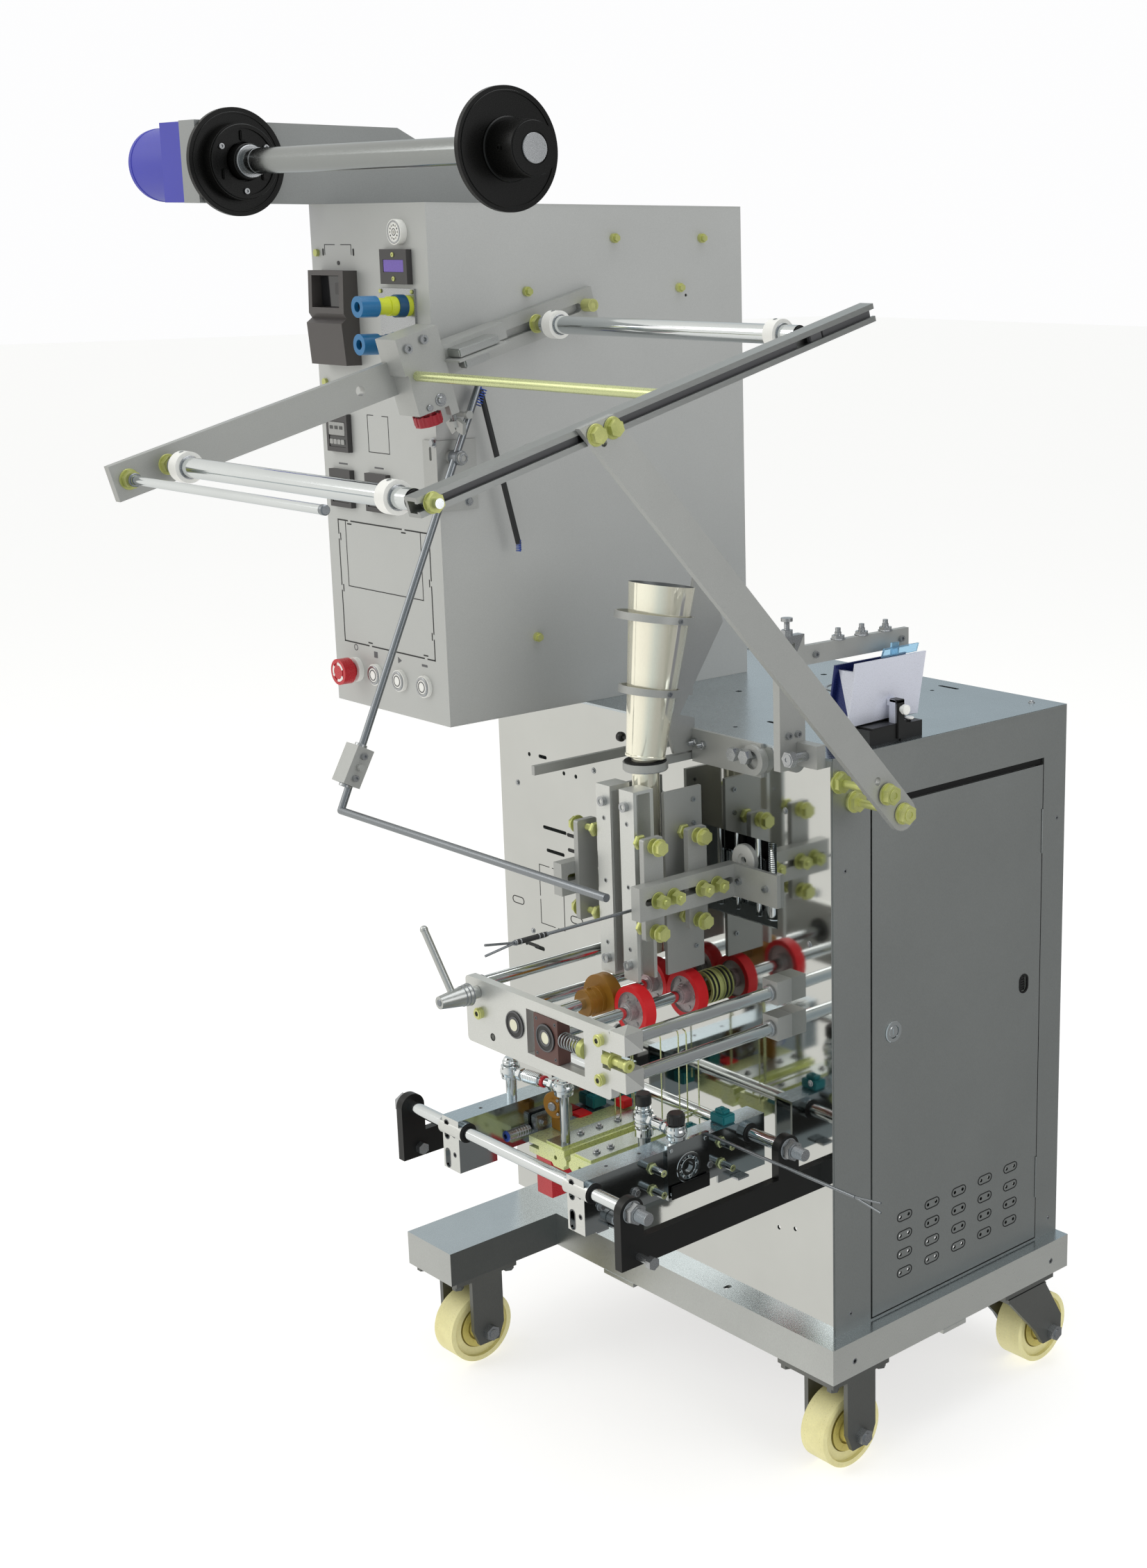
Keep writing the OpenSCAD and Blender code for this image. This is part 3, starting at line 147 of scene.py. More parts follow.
def glass(name, colour):
    """Clear tinted plastic with fine dust."""
    t = Tree(name)
    dust = t.noise(700)
    t.link(t.scaled(srgb(*colour), t.remap(dust, 0.92, 1.05)), t.bsdf.inputs["Base Color"])
    t.link(t.remap(dust, 0.05, 0.17), t.bsdf.inputs["Roughness"])
    t.bsdf.inputs["Transmission Weight"].default_value = 0.85
    t.bsdf.inputs["IOR"].default_value = 1.2
    return t.mat


# name, colour, roughness, metal, grain, spread, cloud, roughness spread, bump and stretch of each finish
FINISHES = {
    "satin": ("stainless_satin", (190, 192, 190), 0.34, 1.0, 1500, 0.10, 0.04, 0.08, 0.06, (1, 1, 0.25)),
    "panel": ("stainless_mirror", (204, 205, 202), 0.055, 1.0, 1800, 0.05, 0.03, 0.03, 0.012),
    # darker and lighter copies of the satin stainless, for right-facing faces of the base: painted shade and
    # painted light
    "shade": ("stainless_shade", (128, 130, 128), 0.38, 1.0, 1500, 0.10, 0.04, 0.08, 0.06, (1, 1, 0.25)),
    "bright": ("stainless_bright", (216, 217, 212), 0.34, 0.8, 1500, 0.09, 0.04, 0.08, 0.06, (1, 1, 0.25)),
    "door": ("stainless_door", (186, 189, 187), 0.42, 1.0, 1300, 0.09, 0.03, 0.06, 0.06, (1, 1, 0.3)),
    # bluish, lighter copy of the stainless for upward faces: painted sky reflection
    "top": ("stainless_top", (196, 204, 208), 0.25, 1.0, 1500, 0.08, 0.05, 0.08, 0.04, (0.3, 1, 1)),
    # copy of the box paint for the front face alone, toned for the light on that face: painted light
    "box_front": ("box_front_paint", (184, 185, 182), 0.46, 0.25, 1100, 0.07, 0.02, 0.05, 0.10),
    "box": ("box_paint", (182, 183, 181), 0.46, 0.25, 1100, 0.07, 0.02, 0.05, 0.10),
    "arm": ("arm_grey", (148, 150, 149), 0.5, 0.3, 1200, 0.09, 0.03, 0.05, 0.12),
    "dark_steel": ("fork_steel", (112, 113, 110), 0.42, 0.75, 900, 0.10, 0.06, 0.08, 0.08, (1, 1, 0.4)),
    "strap": ("strap_steel", (174, 175, 172), 0.45, 0.55, 1300, 0.10, 0.03, 0.06, 0.10),
    "alu": ("aluminium_plate", (214, 215, 211), 0.34, 0.65, 1500, 0.07, 0.03, 0.06, 0.05, (0.25, 1, 1)),
    "alu_rail": ("aluminium_rail", (166, 168, 166), 0.34, 0.9, 1500, 0.08, 0.03, 0.07, 0.06, (1, 0.06, 1)),
    "chrome": ("hard_chrome", (222, 226, 227), 0.10, 1.0, 1200, 0.03, 0.03, 0.04, 0.012),
    "shaft": ("ground_shaft", (152, 155, 154), 0.17, 1.0, 1200, 0.03, 0.03, 0.05, 0.015, (0.2, 1, 1)),
    # darker copy of the funnel's polished sheet for its inner faces: painted shade inside the cone
    "inside": ("funnel_inside", (118, 121, 122), 0.40, 0.6, 1200, 0.06, 0.04, 0.06, 0.03, (1, 1, 0.3)),
    "lcd": ("grey_display", (150, 150, 147), 0.25, 0.0, 700, 0.05, 0.05, 0.05, 0.0),
    "polish": ("polished_sheet", (255, 251, 232), 0.08, 0.72, 900, 0.03, 0.04, 0.03, 0.015, (1, 1, 0.2)),
    "steel": ("steel_hardware", (176, 178, 180), 0.28, 0.95, 1600, 0.08, 0.04, 0.08, 0.05),
    "zinc": ("yellow_zinc", (208, 210, 138), 0.36, 0.60, 1400, 0.12, 0.08, 0.08, 0.10),
    "pale_zinc": ("pale_passivated", (206, 212, 158), 0.26, 0.75, 1400, 0.07, 0.05, 0.07, 0.05),
    "jaw": ("jaw_metal", (214, 220, 160), 0.30, 0.55, 1500, 0.07, 0.05, 0.08, 0.05, (1, 0.2, 1)),
    "jaw_grey": ("jaw_top_plate", (178, 184, 180), 0.28, 0.9, 1200, 0.12, 0.05, 0.08, 0.08),
    # bluish, lighter copy of the carriage metal for upward faces: painted sky reflection
    "carriage_top": ("carriage_top", (186, 200, 208), 0.24, 0.95, 1500, 0.07, 0.04, 0.06, 0.03, (1, 0.2, 1)),
    "carriage": ("carriage_side", (164, 168, 168), 0.12, 1.0, 1300, 0.05, 0.05, 0.05, 0.02, (1, 0.2, 1)),
    "black_iron": ("black_oxide", (24, 24, 23), 0.38, 0.35, 1500, 0.30, 0.10, 0.10, 0.12),
    "black": ("black_plastic", (30, 30, 30), 0.34, 0.0, 1200, 0.20, 0.08, 0.08, 0.08),
    "flange": ("flange_plastic", (10, 10, 9), 0.30, 0.0, 900, 0.20, 0.06, 0.06, 0.05),
    "instrument": ("instrument_case", (62, 60, 60), 0.40, 0.0, 1600, 0.12, 0.05, 0.07, 0.10),
    "screen": ("dark_window", (26, 26, 28), 0.10, 0.0, 500, 0.10, 0.10, 0.04, 0.0),
    "cover": ("cover_plastic", (74, 70, 68), 0.42, 0.0, 1500, 0.12, 0.05, 0.06, 0.12),
    "violet": ("violet_window", (104, 74, 176), 0.18, 0.0, 600, 0.10, 0.10, 0.05, 0.02),
    "white": ("white_plastic", (236, 235, 230), 0.38, 0.0, 900, 0.03, 0.03, 0.05, 0.05),
    "cream": ("cream_bore", (226, 224, 200), 0.32, 0.3, 900, 0.05, 0.04, 0.05, 0.04),
    # dark ink for engraved print; the same dark also paints shade in screw sockets and grooves of the drive
    "ink": ("engraving_ink", (22, 22, 22), 0.6, 0.0, 2500, 0.20, 0.05, 0.08, 0.0),
    # black rubber for gaskets and seals; the same black also paints shade in holes, round vents and behind
    # the front opening
    "gasket": ("black_gasket", (9, 9, 9), 0.7, 0.0, 1200, 0.25, 0.05, 0.06, 0.10),
    "red": ("red_plastic", (186, 20, 34), 0.28, 0.0, 1000, 0.08, 0.05, 0.06, 0.05),
    "dark_red": ("knob_red", (150, 16, 34), 0.34, 0.0, 900, 0.10, 0.05, 0.06, 0.06),
    "tyre": ("red_tyre", (224, 20, 30), 0.50, 0.0, 1300, 0.12, 0.05, 0.06, 0.25),
    "hub": ("granular_hub", (178, 174, 174), 0.42, 0.55, 650, 0.28, 0.06, 0.10, 0.35),
    "ochre": ("ochre_roll", (156, 110, 34), 0.40, 0.2, 900, 0.12, 0.08, 0.08, 0.15),
    "brown": ("brown_block", (92, 62, 56), 0.42, 0.1, 1200, 0.10, 0.06, 0.06, 0.12),
    "motor": ("motor_blue", (42, 45, 164), 0.40, 0.0, 1000, 0.06, 0.04, 0.06, 0.10),
    "plug_blue": ("plug_blue", (30, 108, 158), 0.34, 0.0, 900, 0.08, 0.05, 0.06, 0.08),
    "plug_dark": ("plug_dark_blue", (18, 74, 112), 0.40, 0.0, 900, 0.10, 0.05, 0.06, 0.10),
    "plug_yellow": ("plug_yellow", (206, 216, 54), 0.36, 0.0, 900, 0.06, 0.05, 0.06, 0.06),
    "teal": ("teal_block", (30, 118, 124), 0.38, 0.1, 1100, 0.12, 0.06, 0.08, 0.12),
    "blue_tip": ("blue_spring", (54, 84, 170), 0.30, 0.4, 1000, 0.10, 0.05, 0.06, 0.05),
    "wheel": ("cream_wheel", (240, 232, 172), 0.46, 0.0, 420, 0.05, 0.05, 0.08, 0.12),
    "wheel_hub": ("wheel_hub", (204, 190, 104), 0.44, 0.0, 420, 0.08, 0.06, 0.08, 0.12),
    "sheet": ("chute_sheet", (222, 224, 236), 0.30, 0.25, 1400, 0.05, 0.04, 0.06, 0.04),
    "chute_blue": ("chute_inside", (34, 46, 104), 0.30, 0.3, 900, 0.14, 0.08, 0.08, 0.06),
    "ice": ("ice_glass", (176, 216, 240)),
    "rod_grey": ("bent_rod", (138, 142, 146), 0.30, 0.9, 1300, 0.07, 0.04, 0.07, 0.03),
    # grey for marks and rings; the same grey also paints shade round holes and slots of the carriages and
    # sliding block
    "label": ("grey_mark", (88, 88, 90), 0.5, 0.0, 1600, 0.10, 0.05, 0.06, 0.0),
}
EXTRAS = {
    "lcd": dict(coat=0.2), "zinc": dict(tint=(150, 160, 84)), "jaw": dict(tint=(196, 205, 190)),
    "flange": dict(spec=0.25), "screen": dict(coat=0.5), "violet": dict(coat=0.4), "red": dict(coat=0.2),
    "dark_red": dict(coat=0.2), "hub": dict(tint=(206, 160, 164)), "motor": dict(coat=0.1),
    "plug_blue": dict(coat=0.15), "wheel": dict(tint=(218, 208, 146)),
}
M = {key: glass(*row) if key == "ice" else surface(*row, **EXTRAS.get(key, {}))
     for key, row in FINISHES.items()}


# ---- mesh building ---------------------------------------------------------------------------
LEVEL = Matrix.Identity(4)
ABOVE_BASE = Matrix.Translation((0, 0, BASE))
AXES = {"x": Vector((1, 0, 0)), "y": Vector((0, 1, 0)), "z": Vector((0, 0, 1))}
AXES.update({"-" + key: -axis for key, axis in AXES.items()})


def tilted(origin, degrees):
    """Frame at origin, turned about X."""
    return Matrix.Translation(origin) @ Matrix.Rotation(math.radians(degrees), 4, "X")


def frame_at(centre, axis):
    """Matrix whose third axis runs along axis from centre, first axis as level as it can be."""
    w = (AXES[axis] if isinstance(axis, str) else Vector(axis)).normalized()
    side = Vector((0, 0, 1)) if abs(w.z) < 0.9 else Vector((1, 0, 0))
    u = side.cross(w).normalized()
    v = w.cross(u)
    m = Matrix((u, v, w)).transposed().to_4x4()
    m.translation = Vector(centre)
    return m


def circle(cx, cy, r, n=24, start=0.0):
    """Points of a circle, from the angle start on."""
    angles = [start + 2 * math.pi * i / n for i in range(n)]
    return [(cx + r * math.cos(a), cy + r * math.sin(a)) for a in angles]


def obround(cx, cy, length, width, upright=False, n=8):
    """Points of a slot with round ends."""
    h, r = (length - width) / 2, width / 2
    angles = [math.pi * (i / n - 0.5) for i in range(n + 1)]
    pts = [(h + r * math.cos(a), r * math.sin(a)) for a in angles]
    pts += [(-x, -y) for x, y in pts]
    return [(cx - y, cy + x) if upright else (cx + x, cy + y) for x, y in pts]


def rounded(x0, x1, y0, y1, r, n=4):
    """Points of a rectangle with round corners."""
    pts = []
    for cx, cy, a0 in ((x1 - r, y0 + r, -90), (x1 - r, y1 - r, 0),
                       (x0 + r, y1 - r, 90), (x0 + r, y0 + r, 180)):
        for i in range(n + 1):
            a = math.radians(a0 + 90 * i / n)
            pts.append((cx + r * math.cos(a), cy + r * math.sin(a)))
    return pts


class Kit:
    """Collects the closed solids of one piece, given in millimetres of its local frame."""

    def __init__(self):
        self.bm = bmesh.new()
        self.local = LEVEL

    def add(self, verts, faces):
        made = [self.bm.verts.new((self.local @ Vector(v) + SHIFT) / 1000) for v in verts]
        return [self.bm.faces.new([made[i] for i in f]) for f in faces]

    def box(self, x0, x1, y0, y1, z0, z1, edge=0.0):
        v = [(x, y, z) for x in (x0, x1) for y in (y0, y1) for z in (z0, z1)]
        f = [(0, 1, 3, 2), (4, 6, 7, 5), (0, 4, 5, 1), (2, 3, 7, 6), (0, 2, 6, 4), (1, 5, 7, 3)]
        faces = self.add(v, f)
        if edge:
            edges = list({e for face in faces for e in face.edges})
            bmesh.ops.bevel(self.bm, geom=edges, offset=edge / 1000, segments=2, affect="EDGES")

    def lathe(self, centre, axis, profile, n=32):
        """Turns (radius, height) points round the axis; ends off the axis are joined to each other."""
        m = frame_at(centre, axis)
        verts, rings = [], []
        for r, h in profile:
            count = 1 if r < 1e-6 else n
            rings.append([len(verts) + i for i in range(count)])
            for i in range(count):
                a = 2 * math.pi * i / n
                verts.append(m @ Vector((r * math.cos(a), r * math.sin(a), h)))
        pairs = list(zip(rings, rings[1:]))
        if len(rings[0]) > 1:
            pairs.append((rings[-1], rings[0]))
        faces = []
        for a, b in pairs:
            for i in range(n):
                j = (i + 1) % n
                if len(a) == 1 and len(b) == 1:
                    continue
                if len(a) == 1:
                    faces.append((a[0], b[i], b[j]))
                elif len(b) == 1:
                    faces.append((a[i], b[0], a[j]))
                else:
                    faces.append((a[i], b[i], b[j], a[j]))
        self.add(verts, faces)

    def rod(self, centre, axis, r, h0, h1, chamfer=0.5, n=28):
        c = min(chamfer, r * 0.4, abs(h1 - h0) * 0.4)
        self.lathe(centre, axis, [(0, h0), (r - c, h0), (r, h0 + c), (r, h1 - c), (r - c, h1), (0, h1)],
                   n)

    def ring(self, centre, axis, r0, r1, h0, h1, c=0.3, n=32):
        self.lathe(centre, axis, [(r0, h0), (r1 - c, h0), (r1, h0 + c), (r1, h1 - c), (r1 - c, h1),
                                  (r0, h1)], n)

    def hexagon(self, centre, axis, r, h0, h1, chamfer=1.2):
        self.lathe(centre, axis,
                   [(0, h0), (r, h0), (r, h1 - chamfer * 0.6), (r - chamfer, h1), (0, h1)], 6)

    def thread(self, centre, axis, r, h0, h1, pitch=1.25, n=20):
        """Round bar with the ridges of a thread."""
        steps = max(2, int(abs(h1 - h0) / pitch))
        profile = [(0, h0)]
        for i in range(steps):
            a = h0 + (h1 - h0) * i / steps
            b = h0 + (h1 - h0) * (i + 0.5) / steps
            profile += [(r * 0.9, a), (r, b)]
        profile += [(r * 0.9, h1), (0, h1)]
        self.lathe(centre, axis, profile, n)

    def spring(self, a, b, radius, wire, turns, n=14, sides=8):
        m = frame_at(a, Vector(b) - Vector(a))
        length = (Vector(b) - Vector(a)).length
        count = int(turns * n)
        path = []
        for i in range(count + 1):
            t = i / count
            ang = 2 * math.pi * turns * t
            path.append(m @ Vector((radius * math.cos(ang), radius * math.sin(ang), length * t)))
        self.tube(path, wire, sides)

    def tube(self, points, r, n=12):
        """Round bar swept along points."""
        pts = [Vector(p) for p in points]
        verts, rings = [], []
        side = None
        for i, p in enumerate(pts):
            d = (pts[min(i + 1, len(pts) - 1)] - pts[max(i - 1, 0)]).normalized()
            if side is None:
                side = d.orthogonal().normalized()
            side = (side - d * side.dot(d)).normalized()
            other = d.cross(side)
            rings.append([len(verts) + j for j in range(n)])
            for j in range(n):
                a = 2 * math.pi * j / n
                verts.append(p + side * (r * math.cos(a)) + other * (r * math.sin(a)))
        faces = [tuple(rings[0]), tuple(rings[-1])]
        for a, b in zip(rings, rings[1:]):
            faces += [(a[j], b[j], b[(j + 1) % n], a[(j + 1) % n]) for j in range(n)]
        self.add(verts, faces)

    def prism(self, outer, axis, a, b, holes=()):
        """Flat outline with holes, extruded along x, y or z from a to b."""
        def at(p, h):
            return {"x": (h, p[0], p[1]), "y": (p[0], h, p[1]), "z": (p[0], p[1], h)}[axis]
        loops = [list(outer)] + [list(h) for h in holes]
        tris = tessellate_polygon([[Vector((p[0], p[1], 0)) for p in loop] for loop in loops])
        flat = [p for loop in loops for p in loop]
        n = len(flat)
        verts = [at(p, a) for p in flat] + [at(p, b) for p in flat]
        faces = [tuple(t) for t in tris] + [tuple(i + n for i in t) for t in tris]
        start = 0
        for loop in loops:
            count = len(loop)
            for i in range(count):
                here, after = start + i, start + (i + 1) % count
                faces.append((here, after, n + after, n + here))
            start += count
        self.add(verts, faces)

    def socket_cap(self, centre, axis, r, h0, h1, n=26):
        """Cap screw head with a hexagon socket."""
        m = frame_at(centre, axis)
        mid = h0 + (h1 - h0) * 0.4
        self.lathe(centre, axis, [(0, h0), (r, h0), (r, mid), (0, mid)], n)
        keep = self.local
        self.local = keep @ m
        self.prism(circle(0, 0, r, n), "z", mid, h1, [circle(0, 0, r * 0.55, 6)])
        self.local = keep

    def bolt(self, centre, axis, r, h0, h1):
        """Hexagon head with its flange washer, seated at h0."""
        t = (h1 - h0) * 0.2
        self.rod(centre, axis, r * 1.35, h0, h0 + t, 0.4)
        self.hexagon(centre, axis, r, h0 + t, h1, r * 0.12)

    def piece(self, name, finish, body="machine", angle=32):
        """Turns the solids into a named piece that moves with a CAD body, and starts again."""
        bmesh.ops.recalc_face_normals(self.bm, faces=self.bm.faces)
        mesh = bpy.data.meshes.new(name)
        self.bm.to_mesh(mesh)
        self.bm.free()
        self.bm = bmesh.new()
        mesh.materials.append(M[finish])
        mesh.shade_smooth()
        mesh.set_sharp_from_angle(angle=math.radians(angle))
        obj = bpy.data.objects.new(name, mesh)
        bpy.context.scene.collection.objects.link(obj)
        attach(obj, body)
        return obj


k = Kit()


def paint(node, default, *rules):
    """Finishes of a CAD node: a rule's material goes to the faces whose middle and normal pass its test."""
    mesh = nodes[node].data
    mesh.materials.clear()
    for name in (default, *[r[0] for r in rules]):
        mesh.materials.append(M[name])
    for p in mesh.polygons:
        c = p.center * 1000 - SHIFT
        p.material_index = next((i + 1 for i, r in enumerate(rules) if r[1](c, p.normal)), 0)


def in_block(c):
    """Whether a point belongs to the weight block on the dancer rod, and not to the rod."""
    v = c - Vector((-464, -344, 918))
    along = v.dot(Vector((0, 0.4848, 0.8746)))
    return abs(along) < 24.5 and v.length_squared - along * along > 21.5


def off(c, u, v, cu, cv):
    """Distance of a point from an axis, in the plane of two of its coordinates."""
    return math.hypot(c[u] - cu, c[v] - cv)


# ---- finishes of the CAD nodes ---------------------------------------------------------------
for name, finish in {
    "roll_arm": "arm", "roll_motor": "motor", "film_bar": "strap",
    "film_rail": "alu_rail", "strut": "strap", "yellow_bolts": "zinc", "steel_nuts": "steel",
    "dancer_bracket": "strap", "vseal_frame": "strap",
    "pull_ties": "chrome", "jaw_arms": "black_iron", "jaw_shafts": "chrome",
    "button_stop": "white", "button_start": "white", "button_jog": "white", "estop_button": "red",
    # the top plate is all in the bluish copy of the stainless, painted sky reflection
    "vseal_bar_left": "alu", "vseal_bar_right": "alu", "top_plate": "top",
    "sensor_knob": "dark_red", "cam_handle": "satin", "block_spring": "steel", "funnel_mount": "strap",
    "roll_flange_left": "flange", "roll_flange_right": "flange",
    "breaker_cover": "cover", "sensor_block": "strap", "probe_upper": "rod_grey",
    "probe_lower": "rod_grey", "panel_fittings": "white", "controllers": "instrument",
}.items():
    paint(name, finish)

# base: upward faces take the bluish painted sky reflection
paint("base_frame", "satin", ("top", lambda c, n: n.z > 0.8),
      # right-facing faces: painted shade on the outrigger, painted light on the base's right end
      ("shade", lambda c, n: n.x > 0.8 and c.y < -2), ("bright", lambda c, n: n.x > 0.8 and c.x > -5))
paint("cabinet", "door",
      ("panel", lambda c, n: n.y < -0.5 and c.y < 30 and off(c, 0, 2, DRIVE_X[1], DRIVE_Z) > 30),
      # cabinet top faces: the bluish painted sky reflection
      ("top", lambda c, n: n.z > 0.8 and c.z > 900))
paint("control_box", "box",
      # front face: its own copy of the paint, painted light
      ("box_front", lambda c, n: n.y < -0.5 and c.y < -190),
      ("gasket", lambda c, n: -189.5 < c.y < -186 and abs(n.y) < 0.5))
paint("caster_forks", "dark_steel",
      ("steel", lambda c, n: c.z < 70 and min(off(c, 1, 2, 50, 50), off(c, 1, 2, -122, 50)) < 11.5))
for side in ("swivel_left", "swivel_right"):
    paint(side, "dark_steel", ("steel", lambda c, n: c.z < 70 and off(c, 1, 2, 427, 50) < 11.5))
for wheel, y in (("outrigger", -122), ("front", 50), ("rear_right", 427), ("rear_left", 427)):
    paint("wheel_" + wheel, "wheel",
          ("wheel_hub", lambda c, n: off(c, 1, 2, y, 50) < 31.5))
paint("roll_shaft", "shaft", ("steel", lambda c, n: abs(n.x) > 0.9))
paint("sensor_plugs", "steel",
      ("plug_blue", lambda c, n: c.y < -235),
      ("plug_dark", lambda c, n: -214 < c.y < -200.5 or (c.z < 1425 and -223.5 < c.y < -213)),
      ("plug_dark", lambda c, n: c.z < 1425 and c.y < -222.5),
      ("plug_yellow", lambda c, n: c.y < -194.5))
paint("roller_axles", "pale_zinc",
      ("chrome", lambda c, n: c.y < -480 or c.z > 1400),
      ("steel", lambda c, n: c.y < -560))
for name, y, z in (("roller_front", -546, 1290), ("roller_rear", -43, 1427)):
    paint(name, "chrome", ("white", lambda c, n: -440.5 < c.x < -423.5 or -42.5 < c.x < -25.5),
          ("black", lambda c, n: abs(n.x) > 0.9))
# funnel: inward-facing faces of the cone take the darker copy, painted shade
paint("funnel", "polish",
      ("inside", lambda c, n: c.z > 911
       and (c.x - FILM_X) * n.x + (c.y + 53 - (c.z - 911) * 0.158) * n.y < 0))
paint("pull_frame", "alu",
      ("black", lambda c, n: off(c, 0, 2, DRIVE_X[0], DRIVE_Z) < 17.7 and c.y < -225),
      ("strap", lambda c, n: c.y > -230))
for shaft in ("drive_shaft", "idle_shaft"):
    paint(shaft, "chrome", ("cream", lambda c, n: c.y < -243.5))
paint("drive_rolls", "tyre",
      ("ochre", lambda c, n: c.y < -90),
      ("hub", lambda c, n: off(c, 0, 2, DRIVE_X[0], DRIVE_Z) < 24.5))
paint("idle_wheels", "tyre", ("hub", lambda c, n: off(c, 0, 2, DRIVE_X[1], DRIVE_Z) < 24.5))
paint("bearing_block", "brown", ("black", lambda c, n: off(c, 0, 2, DRIVE_X[1], DRIVE_Z) < 17.7))
for name, x in (("left_carriage", -402), ("right_carriage", -151)):
    paint(name, "carriage",
          # upward faces below the jaws: the bluish painted sky reflection
          ("carriage_top", lambda c, n: n.z > 0.8 and c.z < 475),
          ("alu", lambda c, n: n.y < -0.8 and c.y < -285),
          ("black", lambda c, n: min(off(c, 1, 2, -276, SHAFT_Z), off(c, 1, 2, -31, SHAFT_Z)) < 12.7
           and c.y < 0 and abs(n.x) > 0.9),
          ("chrome", lambda c, n: c.z > 474))
paint("left_jaw", "jaw",
      ("red", lambda c, n: c.z < 404), ("jaw_grey", lambda c, n: n.z > 0.8 and c.z > 431))
paint("right_jaw", "jaw", ("jaw_grey", lambda c, n: n.z > 0.8 and c.z > 431))
paint("dancer_arm", "rod_grey",
      ("strap", lambda c, n: off(c, 1, 2, -344, 918) < 30 and in_block(c)),
      ("black", lambda c, n: c.z < 1352 and c.y > -140 + (1352 - c.z) * -0.02),
      ("blue_tip", lambda c, n: c.z > 1345))
paint("coder", "strap",
      ("black", lambda c, n: 936 < c.z < 962 and c.y > 99),
      ("sheet", lambda c, n: c.y > 83 and c.z < 1041 and c.x > -60),
      ("chute_blue", lambda c, n: c.y > 83 and c.z < 1041),
      ("steel", lambda c, n: c.z > 1066))
paint("door", "door", ("gasket", lambda c, n: abs(n.x) < 0.5 and -24.6 < c.x))


# ---- pieces: control box ---------------------------------------------------------------------
def lines(y, strokes, width=1.7, height=0.25):
    """Thin raised strokes on a face that looks along -Y; each is ((x, z), (x, z), ...)."""
    for pts in strokes:
        for (x0, z0), (x1, z1) in zip(pts, pts[1:]):
            h = width / 2
            k.box(min(x0, x1) - h, max(x0, x1) + h, y - height, y + 0.2,
                  min(z0, z1) - h, max(z0, z1) + h)


k.local = Matrix.Translation((0, BOX_Y, 0))
# outlines scribed round the blank places of the display and of the meter; in the display's, two tabs
# on each side are stepped inwards
X0, X1, Z0, Z1 = -713, -508, 1018, 1177
for line, step, start, end, tabs, level in (
        (Z1, -4, X0, X1, (X0 + 26, X1 - 56), True), (Z0, 4, X0, X1, (X0 + 60, X1 - 20), True),
        (X0, 4, Z0, Z1, (Z0 + 70, Z1 - 22), False), (X1, -4, Z0, Z1, (Z0 + 30, Z1 - 62), False)):
    a, b = tabs
    for u0, u1, v in ((start, a - 4, line), (a + 4, b - 4, line), (b + 4, end, line),
                      (a - 4, a + 4, line + step), (b - 4, b + 4, line + step)):
        lines(0, [((u0, v), (u1, v)) if level else ((v, u0), (v, u1))])
lines(0, [((-696, 1092), (-527, 1092), (-527, 1176)), ((-696, 1092), (-696, 1176))], 1.1)
lines(0, [((-631, 1269), (-585, 1269), (-585, 1315)), ((-631, 1269), (-631, 1315), (-618, 1315)),
          ((-598, 1315), (-585, 1315)), ((-706, 1510), (-706, 1522), (-683, 1522)),
          ((-669, 1522), (-646, 1522), (-646, 1510))], 0.9)
for x in (-710, -641):
    k.prism(obround(x, 1513, 9, 3.4, True), "y", -0.2, 0.6)
k.piece("panel_outlines", "ink")

# plain marks above the buttons: ring, square, triangle and bar
k.ring((-688, 0.1, 1012), "-y", 3.2, 4.4, 0, 0.35, 0.05)
k.box(-646, -638, -0.25, 0.1, 1004, 1012)
k.prism([(-591, 1004), (-583, 1008), (-591, 1012)], "y", -0.25, 0.1)
k.box(-538, -526, -0.25, 0.1, 1007, 1010)
for x in (-692.5, -610.5):
    k.box(x - 10, x + 10, -0.25, 0.1, 1249, 1251)
k.piece("button_marks", "label")

# screens, keys and lamps of the instruments
CONTROLLERS = ((-692.5, 1289.5), (-692.5, 1219), (-610.5, 1219))
for x, z in CONTROLLERS:
    k.prism(rounded(x - 18.2, x + 18.2, z - 3, z + 13.4, 1.5), "y", -7.2, -5.4)
k.piece("controller_displays", "lcd")
for x, z in CONTROLLERS:
    k.box(x - 18, x + 18, -6.2, -5.4, z - 17.4, z - 4.4, 0.3)
    for i in range(3):
        k.box(x - 15 + i * 11, x - 8 + i * 11, -7.6, -7.1, z + 4.6, z + 8.8)
k.prism(rounded(-706, -648, 1447, 1484, 3), "y", -8.0, -6.02)
k.piece("instrument_screens", "screen")
for x, z in CONTROLLERS:
    for i in range(4):
        k.prism(rounded(x - 16.6 + i * 8.6, x - 9.4 + i * 8.6, z - 14.4, z - 8.2, 1.2),
                "y", -7.4, -6.1)
k.piece("controller_keys", "lcd")
k.prism(rounded(-672, -658, 1462, 1476, 1.5), "y", -9.4, -7.9)
k.rod((-676, -0.1, 1500), "-y", 2.6, -0.4, 1.0, 0.3, 16)
k.piece("instrument_keys", "instrument")

k.prism(rounded(-564.6, -522.4, 1490.4, 1504.6, 1.0), "y", -7.6, -5.9)
k.piece("counter_window", "violet")
for z in (1510.6, 1482.4):
    k.ring((-543.5, -7.9, z), "-y", 1.1, 3.0, 0, 1.2, 0.3, 20)
    k.rod((-543.5, -7.9, z), "-y", 1.2, 0, 0.5, 0.1, 12)
for x in (-580.5, -513.5):
    for z in (1467.5, 1390.5):
        k.rod((x, -2.9, z), "-y", 2.6, 0, 2.2, 0.8, 18)
k.piece("panel_screws", "zinc")

